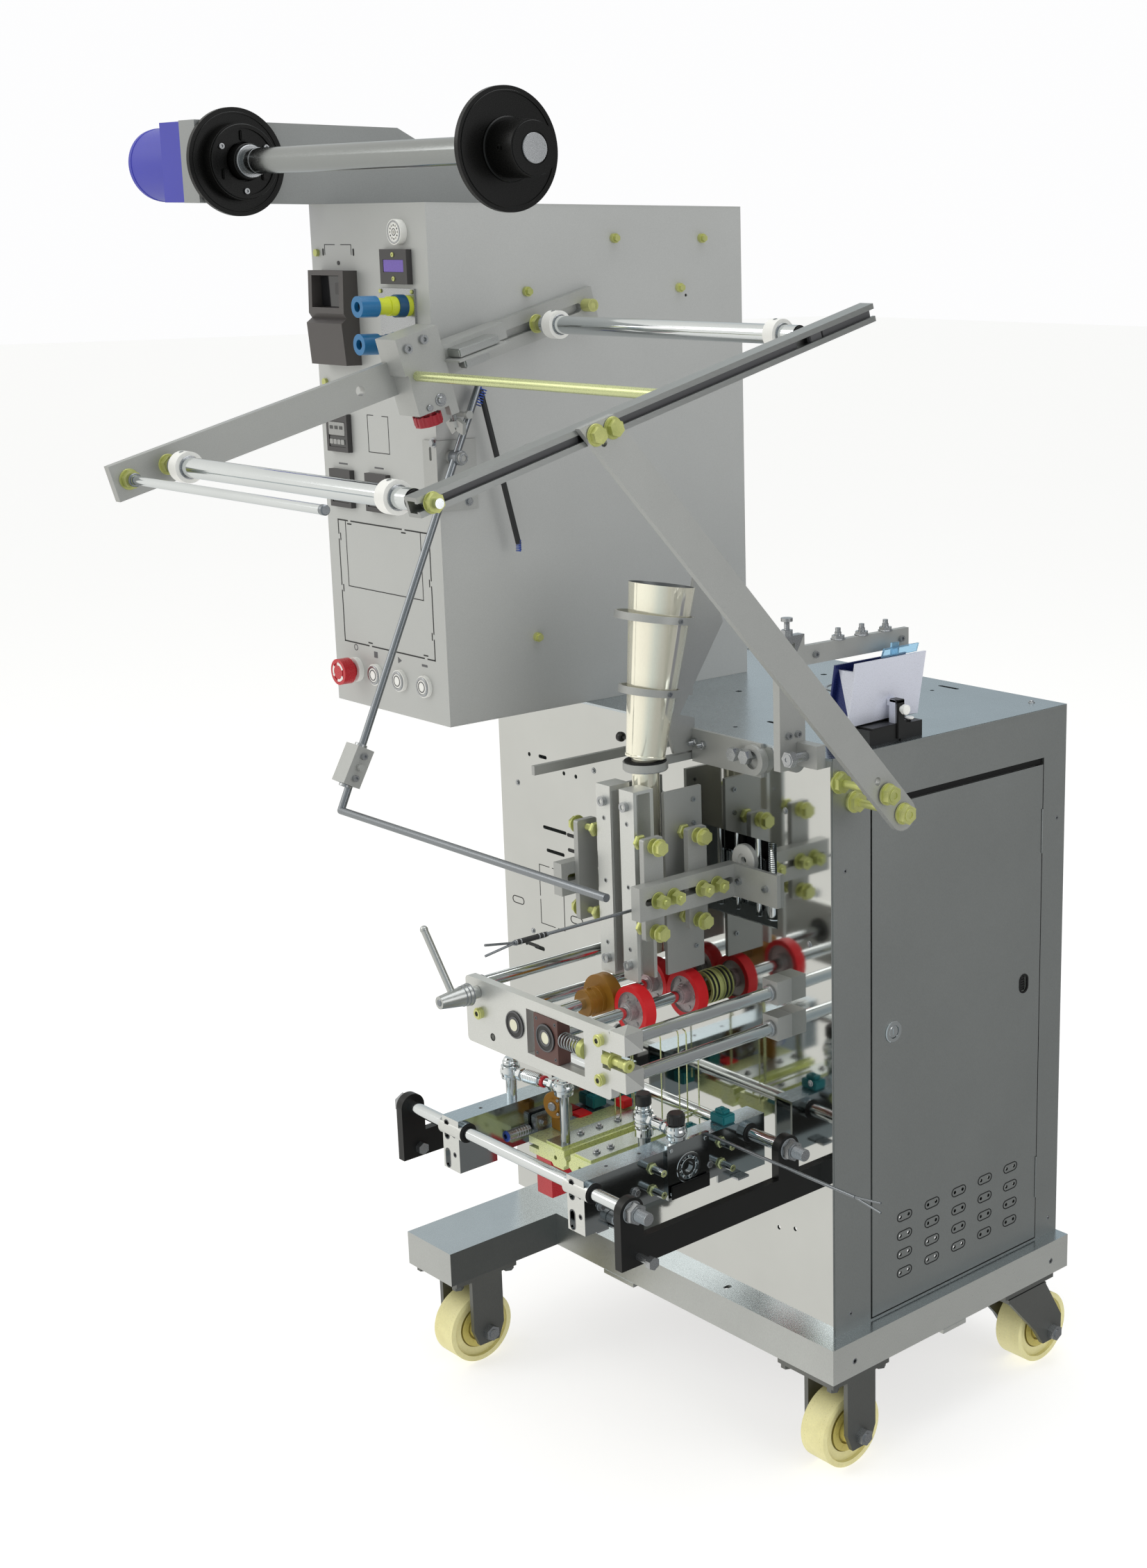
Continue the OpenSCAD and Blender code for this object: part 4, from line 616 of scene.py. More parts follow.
# chromed rings and lens edges of the push buttons, arrows of the emergency stop
for x in (-642, -587, -532):
    k.ring((x, -4.9, 982), "-y", 9.5, 12.4, 0, 2.0, 0.6, 40)
k.ring((-537, -8.9, 1537), "-y", 11.8, 13.6, 0, 0.8, 0.3, 36)
k.piece("button_rings", "steel")
for name, x in (("stop", -642), ("start", -587), ("jog", -532)):
    k.ring((x, -6.4, 982), "-y", 6.0, 7.2, 0, 0.6, 0.15, 32)
    k.piece(name + "_lens_ring", "label", name + "_button")


def on_stop(r, degrees):
    """Point on the face of the emergency stop."""
    return (-688 + r * math.cos(math.radians(degrees)), 983 + r * math.sin(math.radians(degrees)))


for a0 in (20, 140, 260):
    band = [on_stop(12.6, a0 + 10 * i) for i in range(7)]
    band += [on_stop(9.4, a0 + 60 - 10 * i) for i in range(7)]
    for pts in (band, [on_stop(14, a0 + 62), on_stop(8, a0 + 62), on_stop(11, a0 + 78)]):
        k.prism(pts, "y", -29.35, -28.9)
k.piece("stop_arrows", "white", "estop")

# painted shade: dark discs in the holes of the buzzer and dark bores in the plugs
for x, z in circle(-537, 1537, 8, 6, math.pi / 6):
    k.rod((x, -8.9, z), "-y", 1.2, -0.3, 0.15, 0.05, 12)
k.ring((-537, -8.9, 1537), "-y", 3.4, 4.4, -0.2, 0.2, 0.05, 28)
for x, z, l in ((-523, 1451, 74), (-528, 1407, 71)):
    k.rod((x, -l + 6, z), "-y", 5.9, -8, 0.5, 0.2, 24)
k.piece("painted_shade_in_holes", "gasket")

k.local = LEVEL
# edges of the folded box: seam strips, rear cover with its screws and louvres
for z in (937.4, 1569.6):
    k.box(BOX_X - 0.1, BOX_X + 0.3, -188, 306, z, z + 1.0)
k.prism(rounded(-722, -497, 960, 1548, 8), "y", 308.9, 310.6)
for i in range(7):
    k.prism(obround(-609.5, 1470 - i * 12, 110, 5), "y", 310.5, 312.0)
k.piece("box_cover", "box")
for x in (-712, -507):
    for z in (972, 1254, 1536):
        k.bolt((x, 310.5, z), "y", 4.5, 0, 4)
k.piece("box_cover_screws", "steel")


# ---- pieces: film roll holder ----------------------------------------------------------------
y, z = -313.0, 1618.5       # axis of the roll shaft
# bands and screws of the motor
k.ring((-786.2, y, z), "x", 43.6, 45.8, -3, 0.1, 0.8, 64)
k.ring((-870, y, z), "x", 43.6, 44.6, -1.5, 1.5, 0.4, 64)
for sy in (-40, 40):
    for sz in (-40, 40):
        k.socket_cap((-786.2, y + sy, z + sz), "-x", 4.2, 0, 4)
k.piece("motor_trim", "motor")
for r in (12, 20, 28):
    k.ring((-884.0, y, z), "x", r, r + 2.4, 0.02, 0.8, 0.2, 48)
for yy, zz in circle(y, z, 33, 4, math.pi / 4):
    k.rod((-883.9, yy, zz), "x", 2.6, 0.1, 1.4, 0.4, 16)
k.piece("motor_cap", "plug_dark")
# screws and bearing cover on the roll arm
for yy in (-338, -290):
    for zz in (1590, 1647):
        k.socket_cap((-700.1, yy, zz), "x", 4.5, 0, 4.4)
k.piece("arm_screws", "steel")
k.ring((-700.1, y, z), "x", 15.2, 27, 0, 3.0, 0.8, 40)
k.piece("arm_bearing_cover", "black_iron")

# left flange: rim bead, hub with three lugs, retaining ring and its screws
k.ring((-696, y, z), "x", 56, 58, 5.8, 7.2, 0.5, 64)
k.ring((-674, y, z), "x", 38.5, 43.5, -0.1, 2.2, 0.8, 56)
for yy, zz in circle(y, z, 30, 3, math.pi / 2):
    k.box(-675, -670.5, yy - 4, yy + 4, zz - 6, zz + 6, 1.0)
k.ring((-684, y, z), "x", 15.05, 21.0, 0, 24, 1.0, 40)
k.piece("left_flange_hub", "flange", "roll")
k.ring((-660, y, z), "x", 15.02, 19, -0.3, 3.5, 0.6, 40)
for yy, zz in circle(y, z, 34, 3, math.pi / 6):
    k.socket_cap((-674, yy, zz), "x", 3.4, 0, 3)
k.piece("left_flange_ring", "steel", "roll")
# shaft: rings at its end and at both sides of the film
k.ring((-107, y, z), "x", 14.6, 15.25, 0, 4.6, 0.2, 40)
for x in (-640, -190):
    k.ring((x, y, z), "x", 14.9, 15.3, 0, 2.0, 0.1, 40)
k.piece("roll_shaft_rings", "steel", "roll")
# right flange: rim bead, hub steps and lock screws
x = -153
k.ring((x, y, z), "x", 57, 59, 5.8, 7.2, 0.5, 64)
k.ring((x + 6, y, z), "x", 29, 33, -0.1, 3.0, 1.2, 48)
k.ring((x + 49, y, z), "x", 17, 27.5, -0.1, 0.8, 0.4, 48)
for v, w in circle(0, 0, 1, 3, math.pi / 3):
    k.socket_cap((x + 30, y + 28.4 * v, z + 28.4 * w), (0, v, w), 3.2, 0, 2.6)
k.piece("right_flange_trim", "flange", "outer_flange")


# ---- pieces: cabinet and base ----------------------------------------------------------------
k.local = ABOVE_BASE
x = -22.0                   # right face of the door
# gasket in the gap round the door
k.prism([(89.2, 2.2), (412.4, 2.2), (412.4, 684.8), (89.2, 684.8)], "x", x - 8.0, x - 4.5,
        [[(93.5, 5.5), (409.5, 5.5), (409.5, 675.0), (93.5, 675.0)]])
# vents: painted shade as a dark rim round each pair of holes
for c in range(5):
    for r in range(4):
        y, z = 151 + c * 51.7, 125 - r * 26
        k.prism(obround(y, z, 28, 13), "x", x - 0.3, x + 0.35, [obround(y, z, 25.6, 10.6)])
# painted shade as a dark rim round the finger latch recess
k.prism(obround(379, 382, 27, 18, True), "x", x - 0.2, x + 0.8,
        [obround(379, 382, 22, 13, True)])
k.piece("door_gasket_and_painted_shade", "gasket", "door")

k.ring((x, 129, 382), "x", 8.6, 14.0, -0.2, 2.2, 0.8, 48)
k.lathe((x, 129, 382), "x", [(0, -12), (8.2, -12), (8.2, 0.8), (7.2, 1.6), (0, 1.6)], 40)
k.prism(obround(129, 382, 9, 2.4, True), "x", x + 1.5, x + 2.1)
k.piece("door_lock", "chrome", "door")
k.box(x - 9, x - 2.6, 373.5, 384.5, 371.5, 392.5, 1.0)
for i in range(5):
    k.box(x - 2.7, x - 1.6, 375, 383, 374.5 + i * 3.6, 376.3 + i * 3.6, 0.3)
k.piece("door_latch", "black", "door")

# folded lip along the top of the right side and the seam of the front column
k.box(x - 0.1, x + 1.4, 25, 455, 746.6, 749.6, 0.5)
k.box(x - 0.1, x + 0.9, 24.5, 26.0, 2, 746, 0.3)
# rear cover with louvres, left cover
k.prism(rounded(-648, -52, 40, 712, 9), "y", 456.9, 458.6)
for i in range(9):
    for cx in (-520, -350, -180):
        k.prism(obround(cx, 620 - i * 13, 120, 5), "y", 458.5, 460.2)
k.prism(rounded(48, 430, 40, 712, 9), "x", -680.6, -678.9)
k.piece("cabinet_covers", "door")
for cx, cy, axis in ((-636, 458.6, "y"), (-350, 458.6, "y"), (-64, 458.6, "y"),
                     (-680.6, 60, "-x"), (-680.6, 418, "-x")):
    for cz in (54, 376, 698):
        k.bolt((cx, cy, cz), axis, 4.2, 0, 4)
for cx in (-590, -110):
    k.ring((cx, 458.6, 300), "y", 4, 9, 0, 2, 0.5, 32)
    k.rod((cx, 458.6, 300), "y", 4.1, -1, 3.2, 0.5, 24)
# screws in the columns beside the door
for cy, cz in ((46, 608), (53, 24), (441, 598), (440, 23)):
    k.ring((x, cy, cz), "x", 1.4, 2.9, -2.4, 0.2, 0.2, 20)
k.piece("cabinet_screws", "steel")
for x in (-90, -140):
    k.lathe((x, 458.5, 90), "y",
            [(0, 0), (15, 0), (15, 4), (12, 5), (12, 15), (10, 17), (5, 17), (5, 14), (0, 14)], 36)
k.piece("cable_glands", "black")

# thin outlines and marks on the front panel
k.local = LEVEL
y = 22.0
lines(y, [((-598, 606), (-598, 640)), ((-598, 646), (-598, 691), (-576, 691)),
          ((-569, 691), (-545, 691), (-545, 665)), ((-545, 658), (-545, 606), (-560, 606)),
          ((-567, 606), (-598, 606))], 1.0)
for cx, cz in ((-650, 628), (-518, 627)):
    k.prism(obround(cx, cz, 27, 11), "y", y - 0.3, y + 0.1, [obround(cx, cz, 24.6, 8.6)])
for x0, x1, cz in ((-533, -501, 746), (-532, -515, 725), (-633, -605, 569)):
    k.prism(obround((x0 + x1) / 2, cz, x1 - x0, 5), "y", y - 0.3, y + 0.1)
k.piece("front_panel_marks", "ink")
for cx, cz in ((-618, 590), (-640, 800), (-470, 846), (-470, 560),
               (-330, 840), (-100, 860), (-60, 700), (-60, 520)):
    k.rod((cx, y, cz), "-y", 4.2, -0.1, 0.8, 0.4, 24)
    k.rod((cx, y, cz), "-y", 2.6, 0.7, 2.4, 0.8, 20)
k.piece("front_panel_screws", "steel")

# drive parts seen through the opening in the front panel
k.box(-250, -170, 52, 66, 712, 778, 2)
for x, r in ((-247, 5), (-214, 3.5), (-174, 5)):
    k.rod((x, 46, 0), "z", r, 706, 812, 0.5, 20)
k.rod((-150, 50, 0), "z", 12, 706, 742, 2, 32)
k.thread((-150, 50, 0), "z", 8, 741, 812, 2.5, 24)
k.piece("inner_guides", "chrome")
k.ring((-192, 34, 776), "y", 9, 21, 0, 9, 1.5, 44)
k.ring((-192, 34, 776), "y", 5, 9.1, 1.5, 7.5, 0.6, 32)
k.box(-222, -206, 34, 46, 724, 748, 2)
k.piece("inner_cam", "white")
# black sheet and two black blocks behind these parts: painted shade inside the opening
k.box(-262, -116, 67.0, 69.0, 706, 815, 0.5)
for x in (-240, -196):
    k.box(x, x + 20, 62.5, 67.1, 782, 809, 1.0)
k.piece("inner_painted_shade_sheet", "gasket")

# base: rims of the holes in its right end, bolt heads under the channel
for cy in (38, 421):
    k.ring((0, cy, BASE - 28), "x", 2.4, 3.9, -3.0, 0.2, 0.3, 28)
for cx in (-440, -423, -406):
    k.bolt((cx, 30, 124.9), "-z", 5, 0, 4.5)
k.bolt((-30, 224, 124.9), "-z", 5, 0, 4.5)
k.piece("base_bolts", "steel")


# ---- pieces: casters -------------------------------------------------------------------------
for name, xr, y in (("outrigger", -561, -122), ("front", 0, 50),
                    ("rear_right", 0, 427), ("rear_left", -584, 427)):
    mid = xr - 39.5
    for s in (-1, 1):
        k.ring((mid, y, 50), "x", 20, 29.5, s * 17.6 - 0.5, s * 17.6 + 0.5, 0.3, 48)
        for yy, zz in circle(y, 50, 24, 6):
            k.rod((mid, yy, zz), "x", 2.6, s * 17.6 - 0.8, s * 17.6 + 0.8, 0.4, 16)
    for h in (-14, 14):
        k.ring((mid, y, 50), "x", 49.2, 50.0, h - 0.6, h + 0.6, 0.2, 64)
    k.piece(name + "_wheel_trim", "wheel_hub", name + "_wheel")


# ---- pieces: film frame ----------------------------------------------------------------------
k.local = tilted((0, -610, 1273), 15.2)
for name, t in (("front", 66), ("rear", 588)):
    for x, s in ((-454, -1), (0, 1)):
        k.ring((x, t, 0), "x", 5.2, 9.6, s * 0.6 - 0.5, s * 0.6 + 0.5, 0.2, 36)
    k.piece(name + "_roller_seals", "black", name + "_roller")
    for x in (-440, -424, -42, -26):
        k.ring((x, t, 0), "x", 11.0, 12.6, -1.2, 1.2, 0.4, 40)
    for x in (-432, -34):
        k.socket_cap((x, t, 16.6), "z", 2.4, -1.0, 0.9)
    k.piece(name + "_roller_rings", "steel", name + "_roller")

# washers and threads of the frame
for t in (18, 66, 588):
    k.ring((-472, t, 0), "x", 5.05, 11.5, -0.05, 1.2, 0.3, 32)
    if t != 588:
        k.thread((-463.4, t, 0), "x", 5.3, 0, 7, 1.2)
k.ring((30, 66, 0), "x", 5.05, 10.6, -0.05, 1.0, 0.3, 32)
for t in (261, 283):
    k.ring((38.8, t, 0), "x", 5, 11.4, 0.1, 1.6, 0.4, 32)
k.ring((-457.9, 668, 0), "x", 3.4, 7.2, 0.2, 1.9, 0.5, 28)
k.piece("film_frame_washers", "zinc")

# liner of the rail's slot and its clamp nuts
for a, b in ((76, 250), (294, 560), (600, 676)):
    k.box(20.6, 23.6, a, b, -5.6, 5.6, 0.5)
for t in (272, 588):
    k.box(19, 25.6, t - 9, t + 9, -5.8, 5.8, 0.8)
k.piece("rail_liner", "label")
k.lathe((-82.3, 18, 0), "x", [(0, -4), (5.3, -4), (5.3, 1.2), (4.2, 2.2), (0, 2.2)], 28)
k.ring((-460, 18, 0), "x", 5.05, 7.5, 0, 3, 0.6, 28)
k.piece("film_rod_cap", "rod_grey")

# film edge sensor with its foot, then the screws and studs of the sensor block
k.box(-448, -418, 432, 492, 7.2, 17.4, 1.5)
k.box(-440, -424, 440, 478, -9, 7.4, 2)
k.piece("film_sensor", "satin")
for t, o in ((378, 34), (402, 38)):
    k.socket_cap((-440.0, t, o), "x", 5.4, -0.1, 4.5)
k.rod((-440, 386, -40), "x", 3.9, -14, 3, 0.5, 24)
k.ring((-440, 404, -36), "x", 4.2, 7.6, -0.1, 1.4, 0.4, 28)
k.thread((-440, 404, -36), "x", 4.4, -10, 5, 1.2)
k.thread((-445, 419, -44), "z", 3.3, -26, -1, 1.2)
k.piece("sensor_block_screws", "steel")
for x, t in circle(-456, 390, 15.6, 10, math.pi / 10):
    k.rod((x, t, -56), "z", 1.6, -5, 7, 0.5, 14)
k.ring((-456, 390, -62.4), "z", 5, 10, -0.4, 1.0, 0.4, 36)
k.piece("knob_grips", "dark_red", "sensor_knob")


# ---- pieces: dancer --------------------------------------------------------------------------
k.local = LEVEL
x = -464.0
for h0, h1 in ((-8.6, -7.3), (7.3, 8.6)):
    k.ring((x, -174, 1272), "x", 4.2, 8.4, h0, h1, 0.3, 32)
k.socket_cap((x, -174, 1280.8), "z", 2.6, -0.3, 2.0)
k.local = tilted((x, -344, 918), -29)
for h in (-14, 14):
    k.socket_cap((13, 0, h), "x", 4.0, -0.1, 4.2)
k.ring((0, 0, 24), "z", 4.6, 7.5, -0.1, 3.5, 0.5, 32)
k.ring((0, 0, -24), "z", 4.6, 7.5, -3.5, 0.1, 0.5, 32)
k.piece("dancer_screws", "steel", "dancer")
k.local = LEVEL
k.spring((x + 4, -92, 1164), (x + 4, -92, 1150), 3.0, 0.7, 6, 12, 6)
k.spring((x, -134, 1352), (x, -142, 1334), 5.6, 0.8, 6, 14, 6)
k.piece("dancer_spring", "blue_tip", "dancer")
for xx, z in ((-484, 1290), (-495, 1222)):
    k.bolt((xx, -194.0, z), "-y", 4.5, 0, 4.5)
for z in (1216, 1246):
    k.bolt((-479.0, -150, z), "x", 4.2, 0, 4)
k.ring((-452, -174, 1272), "x", 3.9, 6.2, 0.2, 1.4, 0.3, 28)
k.piece("dancer_bracket_screws", "steel")


# ---- pieces: funnel --------------------------------------------------------------------------
k.local = tilted((FILM_X, -53, 911), -9)
SEAM = math.radians(200)
# seam down the cone, in short runs, and the folded lower edge
for start in range(8, 200, 16):
    ends = [(24.1 + 17 * h / 213, h) for h in (start, start + 14)]
    k.tube([(r * math.cos(SEAM), r * math.sin(SEAM), h) for r, h in ends], 0.5, 6)
k.ring((0, 0, 0), "z", 23.6, 25.2, 0.4, 3.4, 0.4, 48)
k.piece("funnel_seam", "polish")
for h, r, s in ((172.5, 49, 4), (82.5, 38, 2)):
    for x, axis in ((r - s + 0.1, "x"), (-r - s - 0.1, "-x")):
        k.socket_cap((x, -s, h), axis, 3.0, -0.6, 2.2)
k.piece("strap_screws", "steel")
k.local = LEVEL
# clamp screw and knob of the collar
k.rod((FILM_X - 25, -50, 928), "-x", 2.0, -2, 24, 0.5, 20)
k.lathe((FILM_X - 46, -50, 928), "-x",
        [(0, 0), (4, 0), (6, 1.5), (6.4, 4), (6, 7), (4, 8.5), (0, 8.5)], 30)
# rubber strip between the cone and the gusset
k.prism([(-14.2, 975), (-9.2, 975), (6.7, 1040), (1.7, 1040)], "x", FILM_X + 1.4, FILM_X + 7.6)
k.piece("collar_knob", "black")
k.prism(rounded(-302, -269, 906, 944, 8), "y", 16.6, 21.9)
k.rod((-285, 17, 932), "-y", 8.5, -1, 12, 1.0, 32)
for x, z in ((-290, 915), (-257, 920), (-242, 919)):
    k.thread((x, 17, z), "-y", 2.8, 0, 12, 1.2)
    k.hexagon((x, 17, z), "-y", 5.6, 0, 5)
k.ring((FILM_X, -53, 897), "z", 17.3, 27.0, -1.6, 0.1, 0.4, 48)
k.piece("gusset_studs", "steel")
k.ring((FILM_X, -53, 907), "z", 17.3, 26.2, -0.9, 0.8, 0.2, 48)
k.piece("collar_seal", "gasket")


# ---- pieces: vertical sealer -----------------------------------------------------------------
def mirrored(x, side):
    """x on the right of the film path (side 1), or its mirror image on the left (side -1)."""
    return FILM_X + side * (x - FILM_X)


k.local = ABOVE_BASE
z0 = 452
for name, s in (("left", -1), ("right", 1)):
    body = "seal_bar_" + name
    for dz in (20, 222):
        k.socket_cap((FILM_X + s * 21, -103.0, z0 + dz), "-y", 6.3, 0, 6.0)
    for dz in (40, 120, 200):
        k.ring((FILM_X + s * 22, -103.0, z0 + dz), "-y", 2.0, 3.1, -1.5, 0.3, 0.2, 24)
    k.piece(name + "_bar_screws", "steel", body)
    a, b = sorted((FILM_X + s * 7.6, FILM_X + s * 9.05))
    for y in (-101, -88):
        k.box(a, b, y, y + 10, z0 + 4, z0 + 236, 0.3)
    k.piece(name + "_seal_strips", "strap", body)
for s in (-1, 1):
    # flange washers and nuts of the sealer bolts, slot nuts behind the bars
    for y in (-100, -30):
        for dz in (525, 633):
            c = (mirrored(-203.0, s), y, dz)
            k.ring(c, (s, 0, 0), 4.05, 9.6, -0.1, 1.6, 0.4, 28)
            k.ring((mirrored(-192, s), y, dz), (s, 0, 0), 4.05, 11.2, -0.2, 1.4, 0.4, 30)
            k.ring((mirrored(-231, s), y, dz), (s, 0, 0), 4.05, 9.6, 0.1, 6.6, 1.4, 6)
            k.thread(c, (s, 0, 0), 4.3, -26, -9, 1.25)
    for y in (-108, -84, -38, -14):
        k.ring((mirrored(-187.0, s), y, 570), (s, 0, 0), 4.05, 10.6, 0.05, 1.6, 0.4, 30)
        k.thread((mirrored(-180, s), y, 570), (s, 0, 0), 3.6, 7.8, 11, 1.0)
k.piece("sealer_washers", "zinc")
for s in (-1, 1):
    for dz in (480, 600, 640, 670):
        k.socket_cap((mirrored(-231.0, s), -12, dz), (s, 0, 0), 3.0, -0.1, 2.6)
    for x in (-178, -130):
        k.socket_cap((mirrored(x, s), 16.0, 569), "-y", 4.4, -0.1, 4.2)
k.piece("sealer_screws", "steel")
# terminal sleeves of the probes
z = 556
k.rod((-213.1, -256, z), "-y", 3.3, 0, 44, 0.6, 22)
k.piece("probe_sleeve", "black")
for h in (4, 10, 36, 42):
    k.ring((-213.1, -256, z), "-y", 3.2, 3.7, h, h + 1.4, 0.2, 22)
k.piece("probe_bands", "steel")


# ---- pieces: film drive ----------------------------------------------------------------------
DRIVE_H = DRIVE_Z - BASE


def teeth(x, y0, y1, n=80, r0=30.9, r1=31.22):
    """Fine ribs round the tread of a film wheel."""
    polar = [(r1 if i % 2 else r0, math.pi * i / n) for i in range(2 * n)]
    pts = [(x + r * math.cos(a), DRIVE_H + r * math.sin(a)) for r, a in polar]
    k.prism(pts, "y", y0, y1, [circle(x, DRIVE_H, 28.5, 40)])


y, z = -241.0, DRIVE_H      # front face of the plate, height of both shafts
teeth(DRIVE_X[0], -27.8, -12.2)
k.piece("drive_tyre_ribs", "tyre", "drive")
teeth(DRIVE_X[1], -27.8, -12.2)
teeth(DRIVE_X[1], -112.8, -97.2)
k.piece("idle_tyre_ribs", "tyre", "idler")
for name, x, body, ys in (("drive", DRIVE_X[0], "drive", (-35,)), ("idle", DRIVE_X[1], "idler", (-35, -120))):
    for yy in ys:
        k.ring((x, yy, z), "y", 7.52, 9.8, -1.2, 0.1, 0.3, 32)
        k.socket_cap((x, yy + 4.5, z + 11.8), "z", 2.6, -0.3, 2.2)
        for xx, zz in circle(x, z, 18, 6):
            k.rod((xx, yy + 9.9, zz), "-y", 2.2, -0.2, 1.0, 0.3, 14)
    k.piece(name + "_wheel_screws", "hub", body)
for yy in (-134, -126, -118):
    k.ring((DRIVE_X[0], yy, z), "y", 16.9, 17.6, -1.2, 1.2, 0.3, 40)
for h0, h1 in ((-7.4, -5.6), (5.6, 7.4)):
    k.ring((DRIVE_X[0], -105, z), "y", 30.8, 31.2, h0, h1, 0.1, 56)
k.socket_cap((DRIVE_X[0], -128, z + 16.9), "z", 2.6, -0.3, 2.0)
k.piece("ochre_roll_bands", "ochre", "drive")

# bearings in the front plate: seals and inner rings
for name, x, yy, body in (("fixed", DRIVE_X[0], y - 1.5, "machine"),
                          ("block", DRIVE_X[1], y - 3.0, "slider")):
    k.ring((x, yy, z), "-y", 7.7, 10.4, -0.1, 0.7, 0.2, 44)
    k.ring((x, yy, z), "-y", 15.4, 17.3, -0.1, 0.6, 0.2, 48)
    # small grey rings round four holes in the sliding block: painted shade
    if name == "block":
        for sx in (-18, 18):
            for sz in (-22, 22):
                k.ring((x + sx, y - 1.5, 415.5 + sz), "-y", 1.0, 2.4, -1.4, 0.35, 0.2, 20)
    k.piece(name + "_bearing_rings", "label", body)

# heads of the front plate's screws, lug screws, jacking screw thread
PLATE_SCREWS = ((-373, 414), (-136, 442), (-136, 393))
for cx, cz in PLATE_SCREWS:
    k.lathe((cx, y, cz), "-y",
            [(0, 3.8), (6.4, 3.8), (7.6, 4.6), (7.6, 5.4), (6.8, 6.0), (0, 6.0)], 36)
    k.prism(circle(cx, cz, 6.0, 30), "y", y - 6.9, y - 5.9, [circle(cx, cz, 3.6, 6)])
k.thread((-196, -235, 419), "x", 4.45, 0, 62, 1.25, 22)
k.thread((-96, -235, 419), "x", 5.9, -12, -0.1, 1.5, 24)
k.ring((-96, -235, 419), "x", 3.2, 7.6, -0.2, 5.0, 0.8, 32)
k.ring((-120, -235, 419), "x", 5, 10.4, -0.1, 1.7, 0.4, 32)
# grooves of the yellow bearing housing
for yy in (5.0, 11.5, 18.5):
    k.ring((DRIVE_X[1], yy, z), "y", 20.6, 21.8, -1.1, 1.1, 0.4, 48)
k.piece("drive_yellow_hardware", "zinc")
# painted shade: dark bottoms in the plate screws' sockets, dark lines in the housing's grooves and a dark
# ring on the plate
for cx, cz in PLATE_SCREWS:
    k.prism(circle(cx, cz, 3.5, 6), "y", y - 6.1, y - 5.85)
for yy in (8.3, 15.0):
    k.ring((DRIVE_X[1], yy, z), "y", 20.9, 21.3, -1.6, 1.6, 0.1, 48)
k.ring((-350, y, 388), "-y", 3.9, 5.0, -0.4, 0.2, 0.1, 28)
k.piece("drive_painted_shade", "ink")

# coil spring between the sliding block and the end of its window
k.spring((DRIVE_X[1] + 24.2, -235, 419), (-175.8, -235, 419), 9, 1.0, 7.5, 20, 8)
spring = k.piece("coil_spring", "steel", "slider", angle=50)
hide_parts("block_spring")
# cup at the window's end: the coil runs into it when the block is pushed back
k.lathe((-178, -235, 419), "x",
        [(5.2, 8.3), (10.5, 8.3), (10.5, 0.5), (11.1, 0), (11.8, 0.5), (11.8, 9.3), (11.3, 9.8),
         (5.2, 9.8)], 40)
k.piece("spring_seat", "zinc")

# tie bars: collars at both ends
for x, ya, yb in ((-105, -214, -2), (-388, -229, 10)):
    for dz in (400, 446):
        k.ring((x, ya, dz), "y", 8.02, 10.2, 0.1, 4.2, 0.7, 32)
        k.ring((x, yb, dz), "y", 8.02, 10.2, -4.2, -0.1, 0.7, 32)
k.piece("tie_collars", "steel")

# lever: grip rings and ball end
for h in (0.2, 5, 10):
    k.ring((-378, y - 12.4 - h, 440), "-y", 12.2 - h * 0.14, 14.4 - h * 0.14, 0, 1.6, 0.4, 40)
k.rod((-378, y - 56.2, 440), "-y", 4.4, -0.4, 1.0, 0.6, 24)
k.piece("lever_rings", "rod_grey", "lever")


# ---- pieces: horizontal sealer ---------------------------------------------------------------
SHAFT_H = SHAFT_Z - BASE


def stud(x, y):
    """Stepped stud end on a unit's lower plate."""
    k.rod((x, y, 247), "z", 4.8, -0.1, 2.2, 0.5, 24)
    k.rod((x, y, 247), "z", 2.6, 2.1, 4.8, 0.6, 18)


def wires(side, *feet):
    """Thin hanging guide wires of the web, bent to the side at the top."""
    for x, y, top in feet:
        k.tube([(x, y, 246), (x, y, top - 6), (x + side * 1.5, y, top - 1.5), (x + side * 6, y, top)], 0.9, 8)


def eye(x, y, z):
    """Bearing rings and spherical collar of a rod end."""
    for h0, h1 in ((7.9, 8.9), (-8.9, -7.9)):
        k.ring((x, y, z), "z", 8.4, 11.4, h0, h1, 0.3, 32)
    k.lathe((x, y, z), "z", [(11.8, -5), (12.9, -3), (13.3, 0), (12.9, 3), (11.8, 5)], 36)


zr = 300          # height of the right unit's link
# right unit: rod ends, caps, studs, teal blocks
for x in (-125, -186):
    eye(x, -140, zr)
k.hexagon((-138.4, -140, zr), "-x", 8.2, 0, 6)
k.hexagon((-172.6, -140, zr), "x", 8.2, 0, 6)
k.ring((-155.5, -140, zr), "x", 5.4, 7.4, -8, 8, 0.8, 28)
k.ring((-186, -140, zr), "z", 8.02, 10.4, 10, 13, 0.6, 28)
k.ring((-186, -140, zr), "z", 8.02, 11.2, -24, -12, 1.2, 28)
k.piece("right_rod_ends", "chrome", "right_jaw_unit")
k.lathe((-186, -140, zr + 26), "z", [(0, -9), (9.4, -9), (10.2, -7.5), (10.2, 4), (8.4, 6), (0, 6)], 30)
k.lathe((-125, -140, zr + 14), "z",
        [(0, -4.6), (9.4, -4.6), (10.6, -3), (10.6, 8), (8.8, 10.4), (0, 10.4)], 30)
for x, y in circle(-125, -140, 10.5, 12):
    k.rod((x, y, zr + 14), "z", 0.8, -2, 7, 0.3, 8)
k.piece("post_caps", "black", "right_jaw_unit")
for y in (-184, -75):
    for dz in (240, 268):
        k.ring((-97.2, y, dz), "x", 1.8, 4.4, -0.4, 1.0, 0.4, 24)
        k.ring((-120, y, dz), "x", 4.5, 7.2, 1.2, 4.4, 0.8, 6)
